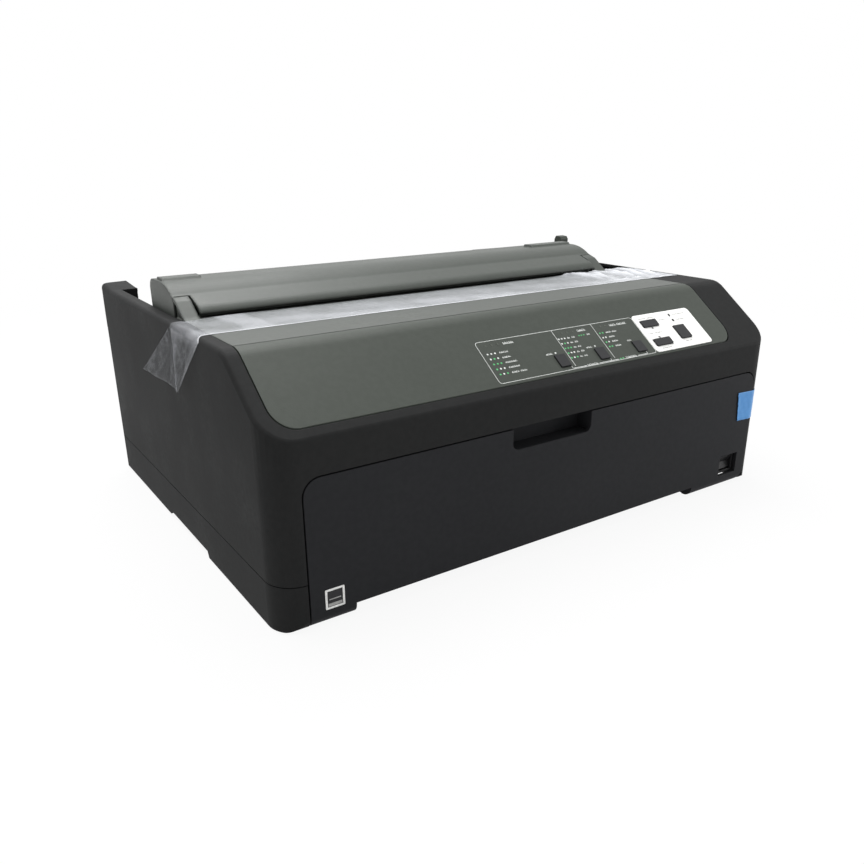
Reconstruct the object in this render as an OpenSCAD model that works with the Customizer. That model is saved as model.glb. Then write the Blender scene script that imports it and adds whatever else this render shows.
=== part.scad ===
// Desktop dot matrix printer: hinged covers, platen, carriage and tractor feed.
// Origin: centre of the footprint, on the desk. +X right, +Y to the rear, +Z up.
// Places along the depth are measured from the front face and turned into Y by fy().

/* [Case] */
// Width of the case
body_w = 438; // [430:1:450]
// Depth of the case, front face to rear face
body_d = 340; // [336:1:350]
// Height of the flat top of the case
frame_z = 161.5; // [160:0.5:166]
// Height of the joint between lower and upper case
seam_z = 31; // [30:0.5:33]
// Gap left at the joint between the two case halves
seam_gap = 0.6; // [0.3:0.1:1]
// Wall of the case mouldings
wall = 2.6; // [2:0.1:3]
// Plan radius of the two front corners
front_r = 19; // [14:1:20]
// Plan radius of the two rear corners
rear_r = 8; // [6.5:0.5:10]
// Rounding of the outer top edges and of the crease
edge_r = 3.6; // [3:0.1:4.4]

/* [Slope] */
// Height of the crease where the front face turns into the slope
crease_z = 120.3; // [118:0.1:123]
// Distance from the front face to the bend where the slope meets the flat top
bend_y = 56; // [54:0.5:60]
// Radius of that bend
bend_r = 20; // [16:1:24]

/* [Top opening] */
// Rim left of the control panel and covers
left_rim = 10; // [9:0.5:12]
// Rim right of the control panel and covers
right_rim = 39; // [37:0.5:41]
// Front seam of the control panel, from the front face
panel_y = 6; // [5:0.5:8]
// Plan radius of the control panel's lower corners
panel_r = 14; // [10:1:16]
// Seam left round the panel and the covers
lid_gap = 0.8; // [0.5:0.1:1]
// Thickness of the control panel moulding
panel_t = 3; // [2.5:0.1:3.4]
// Thickness of the printer cover
cover_t = 2.6; // [2:0.1:3]

/* [Hood] */
// Distance of the hood's lower front edge before the platen axis
hood_front = 33; // [31:0.5:35]
// Distance of the hood's rear face behind the platen axis
hood_rear = 37; // [36:0.5:38]
// Rounding between the hood's flat top and its rear face
hood_r = 8; // [6:0.5:9]
// Height of the hood's lower front edge above the case's flat top
hood_lift = 3.2; // [2.7:0.1:4.5]
// Height of the hood's flat top above the case's flat top
hood_rise = 20; // [18.5:0.1:22.5]
// Thickness of the hood's skin
hood_t = 2.6; // [2:0.1:3]
// How far the raised ends stand above the flat top
hood_step = 1.8; // [1:0.1:2.4]
// Width of the arm at each end of the printer cover
arm_w = 10.6; // [9:0.1:14]
// Width of the slit between arm and hood
slit_w = 1.6; // [1:0.1:2.4]
// Depth of the printer cover's hinge axis below the case's flat top
cover_axis_drop = 9.5; // [8.5:0.5:10.5]

/* [Front cover] */
// Case left of the front cover
door_left = 19.5; // [19:0.5:22]
// Case right of the front cover
door_right = 15.3; // [14.5:0.1:18]
// Gap round the front cover
door_gap = 1; // [0.6:0.1:1.2]
// Top edge of the front cover
door_z1 = 96.4; // [94:0.1:98]
// Lower edge between the front cover's two feet
door_z0 = 9.2; // [8:0.1:10]
// Underside of the front cover's feet
door_foot_z = 1.2; // [1:0.1:2]
// Width of the left foot of the front cover
door_foot_l = 30.3; // [26:0.1:36]
// Width of the right foot of the front cover
door_foot_r = 64.7; // [60:0.1:68]
// Skin of the front cover
door_t = 2.8; // [2.2:0.1:3.2]
// Corner radius at the top of the front cover
door_r = 11; // [8:1:14]
// Rounding of the lower front edge
lower_r = 7; // [5:0.5:8]
// Finger recess: width
recess_w = 70; // [60:1:80]
// Finger recess: height
recess_h = 14.6; // [12:0.1:18]
// Finger recess: depth
recess_d = 14; // [12:0.5:16]
// Finger recess: centre
recess_x = -14.5; // [-18:0.5:-10]
// Front cover hinge: distance from the front face
door_axis_y = 9; // [8.5:0.1:9.5]
// Front cover hinge: height
door_axis_z = 22; // [21.5:0.1:22.5]

/* [Switch] */
// Distance of the switch window's left side from the right side of the case
switch_in = 47; // [45:0.5:50]
// Width of that window
switch_w = 21.6; // [20:0.1:23]
// Underside of the window
switch_z0 = 11.4; // [11:0.1:12.4]
// Height of the window
switch_h = 17; // [16:0.1:18]

/* [Keys] */
// Clearance round each key
key_gap = 0.3; // [0.2:0.05:0.4]
// Height of a key above the panel
key_rise = 1; // [0.8:0.1:1.6]
// Travel of a key
key_travel = 0.8; // [0.5:0.1:0.9]

/* [Mechanism] */
// Distance of the left side plate from the left side of the case
plate_left = 39; // [36:0.5:40]
// Distance of the right side plate from the right side of the case
plate_right = 69; // [67:0.5:71]
// Thickness of the steel side plates
plate_t = 1.6; // [1.2:0.1:2]
// Platen axis, from the front face
platen_y = 186; // [184:0.5:188]
// Platen axis height
platen_z = 126; // [125:0.5:127]
// Radius of the platen's rubber sleeve
platen_r = 16; // [14:0.5:16.5]
// Radius of the platen shaft
shaft_r = 5; // [4:0.5:5]
// Running clearance of shafts in their bores
run_gap = 0.05; // [0.02:0.01:0.1]
// Distance of the carriage shaft before the platen axis
rail_back = 54; // [53.5:0.5:55]
// Carriage shaft height
rail_z = 96; // [95:0.5:97]
// Radius of the carriage shaft
rail_r = 6; // [5:0.5:6]
// Width of the carriage
carriage_w = 62; // [56:1:70]
// Rest place of the carriage
carriage_x = -14.5; // [-60:0.5:30]
// Clearance between faces that pass each other
pass_gap = 0.4; // [0.3:0.05:0.6]

/* [Gears] */
// Module of the feed gears
gear_m = 1; // [0.96:0.01:1]
// Teeth of the platen gear and of the tractor gear
platen_teeth = 48; // [44:2:48]
// Teeth of the reduction gear's small wheel
small_teeth = 20; // [18:1:20]
// Teeth of the reduction gear's large wheel
large_teeth = 52; // [48:2:52]
// Teeth of the motor pinion
pinion_teeth = 14; // [14:1:16]
// Width of the gear faces
gear_w = 5; // [4:0.5:5.5]

/* [Tractors] */
// Rest place of the left tractor
tractor_l = -120; // [-130:1:-100]
// Rest place of the right tractor
tractor_r = 80; // [60:1:85]
// Width of one tractor
tractor_w = 24; // [20:1:28]
// Pins round one tractor wheel
pin_count = 8; // [6:1:10]

/* [Rear] */
// Height of the rear wall between the posts
rear_wall_z = 112; // [104:1:116]
// Width of each rear post from the opening's end
post_w = 12.3; // [11.5:0.1:14]
// Depth of each rear post
post_d = 33; // [30:0.5:35]
// Rise of the rear posts towards the rear
post_rise = 2.3; // [1.5:0.1:3.5]
// Distance of the sheet guide's hinge from the rear face
guide_back = 18; // [17:0.5:19]
// Depth of the sheet guide's hinge below the case's flat top
guide_axis_drop = 21.5; // [19.5:0.5:22.5]
// Reach of the sheet guide in front of its hinge
guide_reach = 60; // [56:0.5:61]
// Rise of the sheet guide from its hinge to its front edge
guide_lift = 24.5; // [22:0.5:26]

/* [Hidden] */

half_w = body_w / 2;
top_x0 = -half_w + left_rim;
top_x1 = half_w - right_rim;
plate_x0 = -half_w + plate_left;
plate_x1 = half_w - plate_right;
door_x0 = -half_w + door_left;
door_x1 = half_w - door_right;
switch_x0 = half_w - switch_in;
rail_y = platen_y - rail_back;
hood_y0 = platen_y - hood_front;
hood_y3 = platen_y + hood_rear;
cover_axis_y = hood_y3 + 4;
guide_axis_y = body_d - guide_back;
hood_z0 = frame_z + hood_lift;
hood_z1 = frame_z + hood_rise;
cover_axis_z = frame_z - cover_axis_drop;
guide_axis_z = frame_z - guide_axis_drop;
// How deep what is moulded on a wall is rooted in it
root = 0.1;
charcoal = [0.17, 0.175, 0.18];
steel = [0.66, 0.67, 0.69];

// Slope geometry
slope_a = atan((frame_z - crease_z) / bend_y);
bend_top_y = bend_y + bend_r * tan(slope_a / 2);
panel_z = crease_z + panel_y * tan(slope_a);

function fy(v) = v - body_d / 2;

// ---------------------------------------------------------------- helpers

module block(x, y, z) {
  translate([x[0], fy(y[0]), z[0]])
    cube([x[1] - x[0], y[1] - y[0], z[1] - z[0]]);
}

module rod_x(x, y, z, r) {
  translate([x[0], fy(y), z])
    rotate([0, 90, 0]) cylinder(h = x[1] - x[0], r = r, $fn = 48);
}

module rod_y(x, y, z, r) {
  translate([x, fy(y[0]), z])
    rotate([-90, 0, 0]) cylinder(h = y[1] - y[0], r = r, $fn = 48);
}

module rod_z(x, y, z, r) {
  translate([x, fy(y), z[0]]) cylinder(h = z[1] - z[0], r = r, $fn = 48);
}

// Extrudes a (depth, height) outline from x[0] to x[1]
module along_x(x) {
  translate([x[0], fy(0), 0])
    rotate([90, 0, 90]) linear_extrude(x[1] - x[0]) children();
}

// Extrudes an (x, height) outline from depth y[0] to y[1]
module along_y(y) {
  translate([0, fy(y[1]), 0])
    rotate([90, 0, 0]) linear_extrude(y[1] - y[0]) children();
}

// Places its children on the slope: x, distance up the slope, height off the surface
module on_slope(x, s, h = 0) {
  translate([x, fy(panel_y + s * cos(slope_a)), panel_z + s * sin(slope_a)])
    rotate([slope_a, 0, 0]) translate([0, 0, h]) children();
}

// Plan outline with its own front and rear corner radii, measured in depth
module plan(x, y, rf, rr) {
  translate([x[0] + rf, y[0]]) square([x[1] - x[0] - 2 * rf, y[1] - y[0] - rr]);
  translate([x[0], y[0] + rf]) square([x[1] - x[0], y[1] - y[0] - rf - rr]);
  translate([x[0] + rr, y[0] + rf]) square([x[1] - x[0] - 2 * rr, y[1] - y[0] - rf]);
  for (cx = [x[0] + rf, x[1] - rf]) translate([cx, y[0] + rf]) circle(r = rf, $fn = 64);
  for (cx = [x[0] + rr, x[1] - rr]) translate([cx, y[1] - rr]) circle(r = rr, $fn = 48);
}

module plan_block(x, y, z, rf, rr) {
  translate([0, fy(0), z[0]]) linear_extrude(z[1] - z[0]) plan(x, y, rf, rr);
}

// Flat rectangle with rounded corners, centred
module round_rect(w, h, r) {
  square([w - 2 * r, h], center = true);
  square([w, h - 2 * r], center = true);
  for (sx = [-1, 1], sy = [-1, 1])
    translate([sx * (w / 2 - r), sy * (h / 2 - r)]) circle(r = r, $fn = 32);
}

// Points of the bend arc, from the slope to the flat top, moved inwards by t
function bend_arc(t, n = 8) = [
  for (i = [0 : n])
    let (a = slope_a * (1 - i / n))
      [bend_top_y - (bend_r - t) * sin(a), frame_z - bend_r + (bend_r - t) * cos(a)]];

// A point on the slope at depth y, moved inwards by t
function slope_pt(y, t = 0) = [y, crease_z + y * tan(slope_a) - t / cos(slope_a)];

function reversed(v) = [for (i = [len(v) - 1 : -1 : 0]) v[i]];

// ---------------------------------------------------------------- gears

// Involute gear outline with a thinned tooth, tooth 0 on the +X side
function involute(rb, r) = let (t = sqrt(max(0, r * r / (rb * rb) - 1)))
  t * 180 / PI - atan(t);

function flank(rp, rb, half, r) = half + involute(rb, rp) - involute(rb, max(r, rb));

function tooth(rp, rb, rr, ra, half, c, n = 3) = concat(
  [[rr, c - flank(rp, rb, half, rb)]],
  [for (i = [0 : n]) let (r = max(rb, rr) + (ra - max(rb, rr)) * i / n)
    [r, c - flank(rp, rb, half, r)]],
  [for (i = [n : -1 : 0]) let (r = max(rb, rr) + (ra - max(rb, rr)) * i / n)
    [r, c + flank(rp, rb, half, r)]],
  [[rr, c + flank(rp, rb, half, rb)]]);

gear_backlash = 0.3;
module gear_2d(teeth) {
  rp = gear_m * teeth / 2;
  half = 90 / teeth - gear_backlash / 2 / rp * 180 / PI / 2;
  pts = [for (i = [0 : teeth - 1])
    each tooth(rp, rp * cos(20), rp - 1.2 * gear_m, rp + 0.85 * gear_m, half, i * 360 / teeth)];
  polygon([for (p = pts) p[0] * [cos(p[1]), sin(p[1])]]);
}

// Angle that puts gear b in mesh with gear a, when b lies in direction dir from a
function mesh(dir, ta, phase_a, tb) =
  dir + 180 - 360 / tb * (0.5 - (dir - phase_a) * ta / 360);

// Gear across X, phase measured from the +Y direction towards +Z
module gear_x(x, y, z, teeth, phase, hub_r, bore_r) {
  translate([x[0], fy(y), z])
    rotate([90, 0, 90]) rotate([0, 0, phase]) linear_extrude(x[1] - x[0])
      difference() {
        gear_2d(teeth);
        if (hub_r > 0) for (i = [0 : 4]) rotate(i * 72 + 36)
          translate([(hub_r + gear_m * (teeth / 2 - 3)) / 2 + 0.5, 0])
            circle(r = (gear_m * (teeth / 2 - 3) - hub_r) / 2 - 0.8, $fn = 24);
        if (bore_r > 0) circle(r = bore_r, $fn = 48);
      }
}

// Feed train: the reduction gear sits behind and below the platen gear
function pitch_d(a, b) = gear_m * (a + b) / 2;
red_dir = -40;
red_y = platen_y + pitch_d(platen_teeth, small_teeth) * cos(red_dir);
red_z = platen_z + pitch_d(platen_teeth, small_teeth) * sin(red_dir);
tract_dir = -10;
tract_y = red_y + pitch_d(platen_teeth, small_teeth) * cos(tract_dir);
tract_z = red_z + pitch_d(platen_teeth, small_teeth) * sin(tract_dir);
pinion_dir = -80;
pinion_y = red_y + pitch_d(large_teeth, pinion_teeth) * cos(pinion_dir);
pinion_z = red_z + pitch_d(large_teeth, pinion_teeth) * sin(pinion_dir);
red_phase = mesh(red_dir, platen_teeth, 0, small_teeth);
tract_phase = mesh(tract_dir, small_teeth, red_phase, platen_teeth);
pinion_phase = mesh(pinion_dir, large_teeth, 0, pinion_teeth);
gear_x0 = plate_x1 + plate_t + 2.4;
gear_x1 = gear_x0 + gear_w + 0.6;

// ---------------------------------------------------------------- case

// Outer form of the whole upper case: one block with all its outer edges rounded
module case_form(base) {
  hull() for (s = [-1, 1]) {
    translate([s * (half_w - front_r), fy(front_r), base]) cylinder(r = front_r, h = 40, $fn = 64);
    translate([s * (half_w - rear_r), fy(body_d - rear_r), base])
      cylinder(r = rear_r, h = 40, $fn = 32);
    // front corner, along the slope
    for (a = [0 : corner_step : 90])
      let (y = front_r - (front_r - edge_r) * cos(a))
        edge_ball(s, half_w - front_r + (front_r - edge_r) * sin(a), slope_pt(y, edge_r));
    // side edge, over the bend
    for (p = bend_arc(edge_r, 5)) edge_ball(s, half_w - edge_r, p);
    // rear corner
    for (a = [0 : 30 : 90])
      edge_ball(s, half_w - rear_r + (rear_r - edge_r) * cos(a),
        [body_d - rear_r + (rear_r - edge_r) * sin(a), frame_z - edge_r]);
  }
}
corner_step = 11.25;
module edge_ball(s, x, p) {
  translate([s * x, fy(p[0]), p[1]]) sphere(r = edge_r, $fn = 20);
}

// Side outline of the case, moved inwards by t, down to height base
module side_outline(t, base) {
  polygon(concat(
    [[t, base], [t, slope_pt(t, t)[1]]],
    bend_arc(t),
    [[body_d - t, frame_z - t], [body_d - t, base]]));
}

module case_cavity(base) {
  intersection() {
    along_x([-half_w + wall, half_w - wall]) side_outline(wall, base);
    plan_block([-half_w + wall, half_w - wall], [wall, body_d - wall],
      [base, frame_z], front_r - wall, rear_r - wall);
  }
}

guide_x0 = plate_x0 + 2;
guide_x1 = plate_x1 + 17;
post_y = body_d - post_d;
skirt_z = frame_z - 25.5;
post_z = frame_z - 33.5;

// Rear post on side s: its top rises to the rear, its outer edges are rounded
module rear_post(s, inner) {
  tip = 1;
  hull() {
    for (y = [post_y + 0.2, body_d - rear_r])
      edge_ball(s, half_w - edge_r, [y + (y < post_y + 1 ? edge_r : 0), post_top(y) - edge_r]);
    for (a = [30 : 30 : 90])
      edge_ball(s, half_w - rear_r + (rear_r - edge_r) * cos(a),
        [body_d - rear_r + (rear_r - edge_r) * sin(a), post_top(body_d) - edge_r]);
    for (y = [post_y + tip, body_d - tip])
      translate([s * (inner + tip), fy(y), post_top(y) - tip]) sphere(r = tip, $fn = 12);
    for (y = [post_y + tip, body_d - tip])
      translate([s * (inner + tip), fy(y), post_z]) cylinder(r = tip, h = 10, $fn = 12);
    translate([s * (half_w - edge_r), fy(post_y + edge_r), post_z])
      cylinder(r = edge_r, h = 10, $fn = 20);
    translate([s * (half_w - rear_r), fy(body_d - rear_r), post_z])
      cylinder(r = rear_r, h = 10, $fn = 32);
  }
}
function post_top(y) = frame_z + post_rise * (y - post_y) / post_d;

module upper_case() {
  base = seam_z + seam_gap;
  color(charcoal) difference() {
    union() {
      difference() {
        case_form(base);
        case_cavity(base - 1);
        // opening for the panel and the covers
        plan_block([top_x0 - lid_gap / 2, top_x1 + lid_gap / 2], [panel_y - lid_gap / 2, post_y],
          [door_z1 + 1, frame_z + 1], panel_r, 0.1);
        // paper entry between the rear posts
        block([top_x0 + post_w, top_x1 - post_w], [post_y - 1, body_d + 1],
          [rear_wall_z, frame_z + 1]);
      }
      rear_post(-1, -top_x0 - post_w);
      rear_post(1, top_x1 - post_w);
      screw_bosses();
      // inner skirts that carry the cover's hinge
      for (x = [top_x0 - lid_gap / 2 - wall, top_x1 + lid_gap / 2])
        block([x, x + wall], [bend_top_y + 4, post_y], [skirt_z, frame_z - wall + root]);
      // ledge under the panel's lower edge
      along_x([top_x0 + panel_r, top_x1 - panel_r])
        polygon([slope_pt(panel_y - 1, panel_t + 0.3), slope_pt(panel_y + 5, panel_t + 0.3),
          slope_pt(panel_y + 5, panel_t + 2.3), slope_pt(wall, panel_t + 2.3),
          slope_pt(wall, wall)]);
    }
    // opening for the front cover, with round upper corners
    along_y([-1, wall + 1]) {
      r = door_r + door_gap;
      x = [door_x0 - door_gap, door_x1 + door_gap];
      z = [seam_z - 1, door_z1 + door_gap];
      translate([x[0], z[0]]) square([x[1] - x[0], z[1] - z[0] - r]);
      translate([x[0] + r, z[0]]) square([x[1] - x[0] - 2 * r, z[1] - z[0]]);
      for (cx = [x[0] + r, x[1] - r]) translate([cx, z[1] - r]) circle(r = r, $fn = 48);
    }
    // hinge bores for cover and sheet guide
    rod_x([top_x0 - lid_gap - wall - 1, top_x0 + 1], cover_axis_y, cover_axis_z, 3 + run_gap);
    rod_x([top_x1 - 1, top_x1 + lid_gap + wall + 1], cover_axis_y, cover_axis_z, 3 + run_gap);
    for (x = [top_x0 + post_w - 6, top_x1 - post_w - 1])
      rod_x([x, x + 7], guide_axis_y, guide_axis_z, 3 + run_gap);
    // bay over the platen knob and the release lever
    block([top_x1 + bay_rim, half_w - bay_rim], [platen_y - 26, lever_y + 13],
      [frame_z - wall - 1, frame_z + 1]);
    // hole for the platen knob
    rod_x([half_w - wall - 1, half_w + 1], platen_y, platen_z, knob_r + 1.2);
    // rear openings: ports, inlet and option slot
    rear_cutouts();
  }
}

bay_rim = 4.5;
rear_cut = [body_d - wall - 1, body_d + 1];
par_x = plate_x0 + 50;
usb_x = plate_x0 + 128;
slot_x = plate_x0 + 154;
inlet_x = half_w - 55;
board_z = seam_z + 6;
module rear_cutouts() {
  block([par_x, par_x + 64], rear_cut, [board_z - 0.2, board_z + 14]);
  block([usb_x, usb_x + 14], rear_cut, [board_z - 0.2, board_z + 12]);
  block([slot_x, slot_x + 80], rear_cut, [seam_z + 8, seam_z + 38]);
  block([inlet_x, inlet_x + 28], rear_cut, [seam_z + 8, seam_z + 30]);
}

foot_front_d = 122;
foot_mid_z = 5.5;
foot_rear_y = 208;
foot_rear_z = 2.4;
notch_y = 34;
floor_z = 6.4;

// Outer block of the tray, with the skirts cut up between front and rear foot
module tray_block(t, z0, z1) {
  difference() {
    plan_block([-half_w + t, half_w - t], [t, body_d - t], [z0, z1], front_r - t, rear_r - t);
    // room for the front cover
    block([door_x0 - door_gap - t, door_x1 + door_gap + t], [-1, notch_y + t], [0, z1 + 1]);
  }
}

module lower_case() {
  color(charcoal) {
    difference() {
      tray_block(0, 1, seam_z);
      tray_block(wall, floor_z + wall, seam_z + 1);
      // raised skirt between the feet, and hollow underside
      along_x([-half_w - 1, half_w + 1])
        polygon([[foot_front_d, 0], [foot_front_d + 3, foot_mid_z], [foot_rear_y - 3, foot_mid_z],
          [foot_rear_y, foot_rear_z], [body_d + 1, foot_rear_z], [body_d + 1, 0]]);
      difference() {
        tray_block(wall, 0, floor_z);
        block([-half_w, half_w], [0, lower_r + wall], [0, floor_z]);
      }
      // rounded lower front edge
      along_x([-half_w - 1, half_w + 1])
        polygon(concat([[-1, 0], [-1, 1 + lower_r]], lower_arc(lower_r, 1), [[lower_r, 0]]));
      for (p = foot_places) rod_z(p[0], p[1], [0, floor_z + 3 * wall], 2.2);
      for (p = screw_places) rod_z(p[0], p[1], [0, floor_z + 3 * wall], 1.7);
    }
    for (p = foot_places) difference() {
      rod_z(p[0], p[1], [foot_h, floor_z], 11);
      rod_z(p[0], p[1], [0, floor_z + 1], 2.2);
    }
    door_hinge_posts();
  }
}

// Quarter arc from the front face down to the underside z, with radius r, moved inwards by t
function lower_arc(r, z, t = 0) = [
  for (i = [0 : 8]) [r - (r - t) * cos(i * 11.25), z + r - (r - t) * sin(i * 11.25)]];

foot_h = 3.4;
foot_places = [[-half_w + 24, 52], [half_w - 24, 52], [-half_w + 24, body_d - 32],
  [half_w - 24, body_d - 32]];

module rubber_feet() {
  color([0.1, 0.1, 0.1]) for (p = foot_places) {
    translate([p[0], fy(p[1]), 0]) rotate_extrude($fn = 48)
      polygon([[0, 0], [8.6, 0], [9.6, 1], [9.6, foot_h], [0, foot_h]]);
    rod_z(p[0], p[1], [foot_h, floor_z + wall], 2.1);
  }
}

hinge_xs = [-130, 100];
module door_hinge_posts() {
  for (x = hinge_xs) {
    block([x - 9, x - 5], [door_axis_y - 4, notch_y + 0.1], [door_axis_z - 4, door_axis_z + 4]);
    block([x + 5, x + 9], [door_axis_y - 4, notch_y + 0.1], [door_axis_z - 4, door_axis_z + 4]);
    rod_x([x - 9, x + 9], door_axis_y, door_axis_z, 2.5);
  }
}

screw_places = [[-half_w + 8, 165], [half_w - 8, 165], [-half_w + 8, 290], [half_w - 8, 290]];
module case_screws() {
  color(steel) for (p = screw_places) difference() {
    union() {
      rod_z(p[0], p[1], [floor_z - 2.2, floor_z], 3.4);
      rod_z(p[0], p[1], [floor_z, seam_z + 12], 1.5);
    }
    translate([p[0], fy(p[1]), floor_z - 2.3])
      for (a = [0, 90]) rotate(a) translate([-2, -0.4, 0]) cube([4, 0.8, 1.3]);
  }
}
module screw_bosses() {
  for (p = screw_places) difference() {
    union() {
      rod_z(p[0], p[1], [floor_z + wall + 0.1, seam_z + 20], 4);
      block([min(p[0], sign(p[0]) * (half_w - 1)), max(p[0], sign(p[0]) * (half_w - 1))],
        [p[1] - 1, p[1] + 1], [seam_z + seam_gap, seam_z + 20]);
    }
    rod_z(p[0], p[1], [0, seam_z + 14], 1.5);
  }
}

// ---------------------------------------------------------------- panel

module control_panel() {
  x = [top_x0 + lid_gap / 2, top_x1 - lid_gap / 2];
  color([0.2, 0.21, 0.2]) difference() {
    intersection() {
      along_x(x) polygon(concat([slope_pt(panel_y + lid_gap / 2)], bend_arc(0),
        reversed(bend_arc(panel_t)), [slope_pt(panel_y + lid_gap / 2, panel_t)]));
      plan_block(x, [panel_y + lid_gap / 2, bend_top_y + 1], [0, frame_z + 1],
        panel_r - lid_gap / 2, 0.1);
    }
    key_holes(0.3);
    lamp_places() cylinder(r = 0.9, h = 12, center = true, $fn = 16);
  }
}

// Keys: centre x, centre up the slope, width, height
keys = [
  [104.8, 29.2, 16.4, 6.3], [104.7, 10.7, 17.4, 6.3], [131.2, 16.5, 11.5, 12.7],
  [4.6, 11.2, 9, 10.4], [41.8, 11, 8.8, 10.2], [79.7, 10.9, 9.2, 9.8]];

module key_holes(grow) {
  for (k = keys) on_slope(k[0], k[1], -6)
    linear_extrude(8) round_rect(k[2] + 2 * grow, k[3] + 2 * grow, 0.6);
}

module key(i) {
  k = keys[i];
  color([0.14, 0.145, 0.15]) on_slope(k[0], k[1]) {
    translate([0, 0, -panel_t]) linear_extrude(panel_t + key_rise + plate_rise(i))
      round_rect(k[2] + 0.6 - 2 * key_gap, k[3] + 0.6 - 2 * key_gap, 0.5);
    translate([0, 0, -panel_t - 1.4]) linear_extrude(1.2)
      round_rect(k[2] + 2.4, k[3] + 2.4, 0.6);
    translate([0, 0, -panel_t - 1.4 - stem_h]) cylinder(r = 1.6, h = stem_h, $fn = 24);
    translate([0, 0, -panel_t - 0.2]) linear_extrude(0.2)
      round_rect(k[2] + 0.6 - 2 * key_gap, k[3] + 0.6 - 2 * key_gap, 0.5);
  }
}
stem_h = 3;
face_t = 0.6;
function plate_rise(i) = i < 3 ? face_t : 0;

module key_plate() {
  color([0.9, 0.9, 0.88]) difference() {
    on_slope(123.4, 20.4) linear_extrude(face_t) round_rect(62.8, 36.4, 3);
    key_holes(0.3);
    lamp_places() cylinder(r = 1.2, h = 12, center = true, $fn = 16);
  }
}

// Lamp holes: two on the pale plate, the rest in the three printed fields
lamps_at = [[131, 34], [131.2, 28.6], [-47.9, 34.5], [-42.8, 34.5], [-37.8, 34.5],
  [19.8, 34.5], [24.8, 34.5], [29.8, 34.5], [57.6, 34.5], [62.6, 34.5]];
module lamp_places() {
  for (p = lamps_at) on_slope(p[0], p[1]) children();
}

module lamps() {
  color([0.75, 0.8, 0.72]) lamp_places()
    translate([0, 0, -board_drop]) cylinder(r = 0.8, h = board_drop + 0.1, $fn = 16);
}
board_drop = panel_t + 1.4 + stem_h + key_travel + 0.1 + 1.8;

module panel_board() {
  color([0.1, 0.35, 0.2]) {
    on_slope(43, 20, -board_drop - 1.6) linear_extrude(1.6) round_rect(206, 40, 1);
    for (k = keys) on_slope(k[0], k[1], -board_drop)
      translate([-3, -3, 0]) cube([6, 6, 1.8]);
    for (x = [-52, 138]) on_slope(x, 36, -board_drop)
      cylinder(r = 2.4, h = board_drop - panel_t, $fn = 24);
  }
}

// ---------------------------------------------------------------- covers

cover_x = [top_x0 + lid_gap / 2, top_x1 - lid_gap / 2];
slit_y = platen_y - 14;
cheek_t = 1.4;
cheek_z = frame_z - 3.5;
web_x = [[cover_x[0] + cheek_t + 0.2, cover_x[0] + cheek_t + 2.8],
  [cover_x[1] - cheek_t - 2.8, cover_x[1] - cheek_t - 0.2]];

function bezier(a, b, c, n) = [
  for (i = [0 : n]) let (t = i / n) (1 - t) * (1 - t) * a + 2 * t * (1 - t) * b + t * t * c];

// Outline of the hood's skin, from its lower front edge to the rear, moved inwards by t
function hood_line(t) = concat(
  [[hood_y0 + t * 0.6, hood_z0]],
  [for (p = bezier([0, 0.4], [2.6, 4.4], [7, 5.6], 4)) [hood_y0 + p[0] + t * 0.5, hood_z0 + p[1] - t * 0.9]],
  [for (p = bezier([21, 10.3], [31, hood_z1 - hood_z0 - 0.2], [43, hood_z1 - hood_z0], 7))
    [hood_y0 + p[0] + t * (43 - p[0]) / 80, hood_z0 + p[1] - t]],
  [for (i = [0 : 6]) let (a = 90 - i * 15)
    [hood_y3 - hood_r + (hood_r - t) * cos(a), hood_z1 - hood_r + (hood_r - t) * sin(a)]]);

module hood() {
  rest = [hood_z0 - 2, hood_z1 + 5];
  color([0.22, 0.23, 0.22]) {
    difference() {
      along_x(cover_x) polygon(concat(hood_line(0), [[hood_y3, hood_skirt_z]],
        [[hood_y3 - hood_t, hood_skirt_z]], reversed(hood_line(hood_t))));
      // room for the cover's arms, with a slit beside each
      block([cover_x[0] - 1, cover_x[0] + arm_w + slit_w], [hood_y0 - 1, slit_y], rest);
      block([cover_x[1] - arm_w - slit_w, cover_x[1] + 1], [hood_y0 - 1, slit_y], rest);
      // room for the webs that carry the hinge pins
      block([cover_x[0] - 1, web_x[0][1] + 0.4], [hood_y3 - hood_t - 1, hood_y3 + 1],
        [hood_skirt_z - 1, cheek_z]);
      block([web_x[1][0] - 0.4, cover_x[1] + 1], [hood_y3 - hood_t - 1, hood_y3 + 1],
        [hood_skirt_z - 1, cheek_z]);
    }
    // end cheeks
    for (x = [cover_x[0], cover_x[1] - cheek_t]) along_x([x, x + cheek_t]) intersection() {
      polygon(concat(hood_line(0), [[hood_y3, cheek_z], [hood_y0, cheek_z]]));
      translate([slit_y - 1.5, cheek_z]) square([hood_y3 - slit_y + 1.5, hood_z1]);
    }
    // raised ends of the flat top
    for (x = [[cover_x[0] + 2, cover_x[0] + 30], [cover_x[1] - 48, cover_x[1] - 2]])
      along_x(x) polygon([[hood_y0 + 44, hood_z1], [hood_y0 + 46, hood_z1 + hood_step],
        [hood_y3 - hood_r - 6, hood_z1 + hood_step], [hood_y3 - hood_r - 5, hood_z1]]);
  }
}
hood_skirt_z = frame_z - 18.5;

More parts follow.
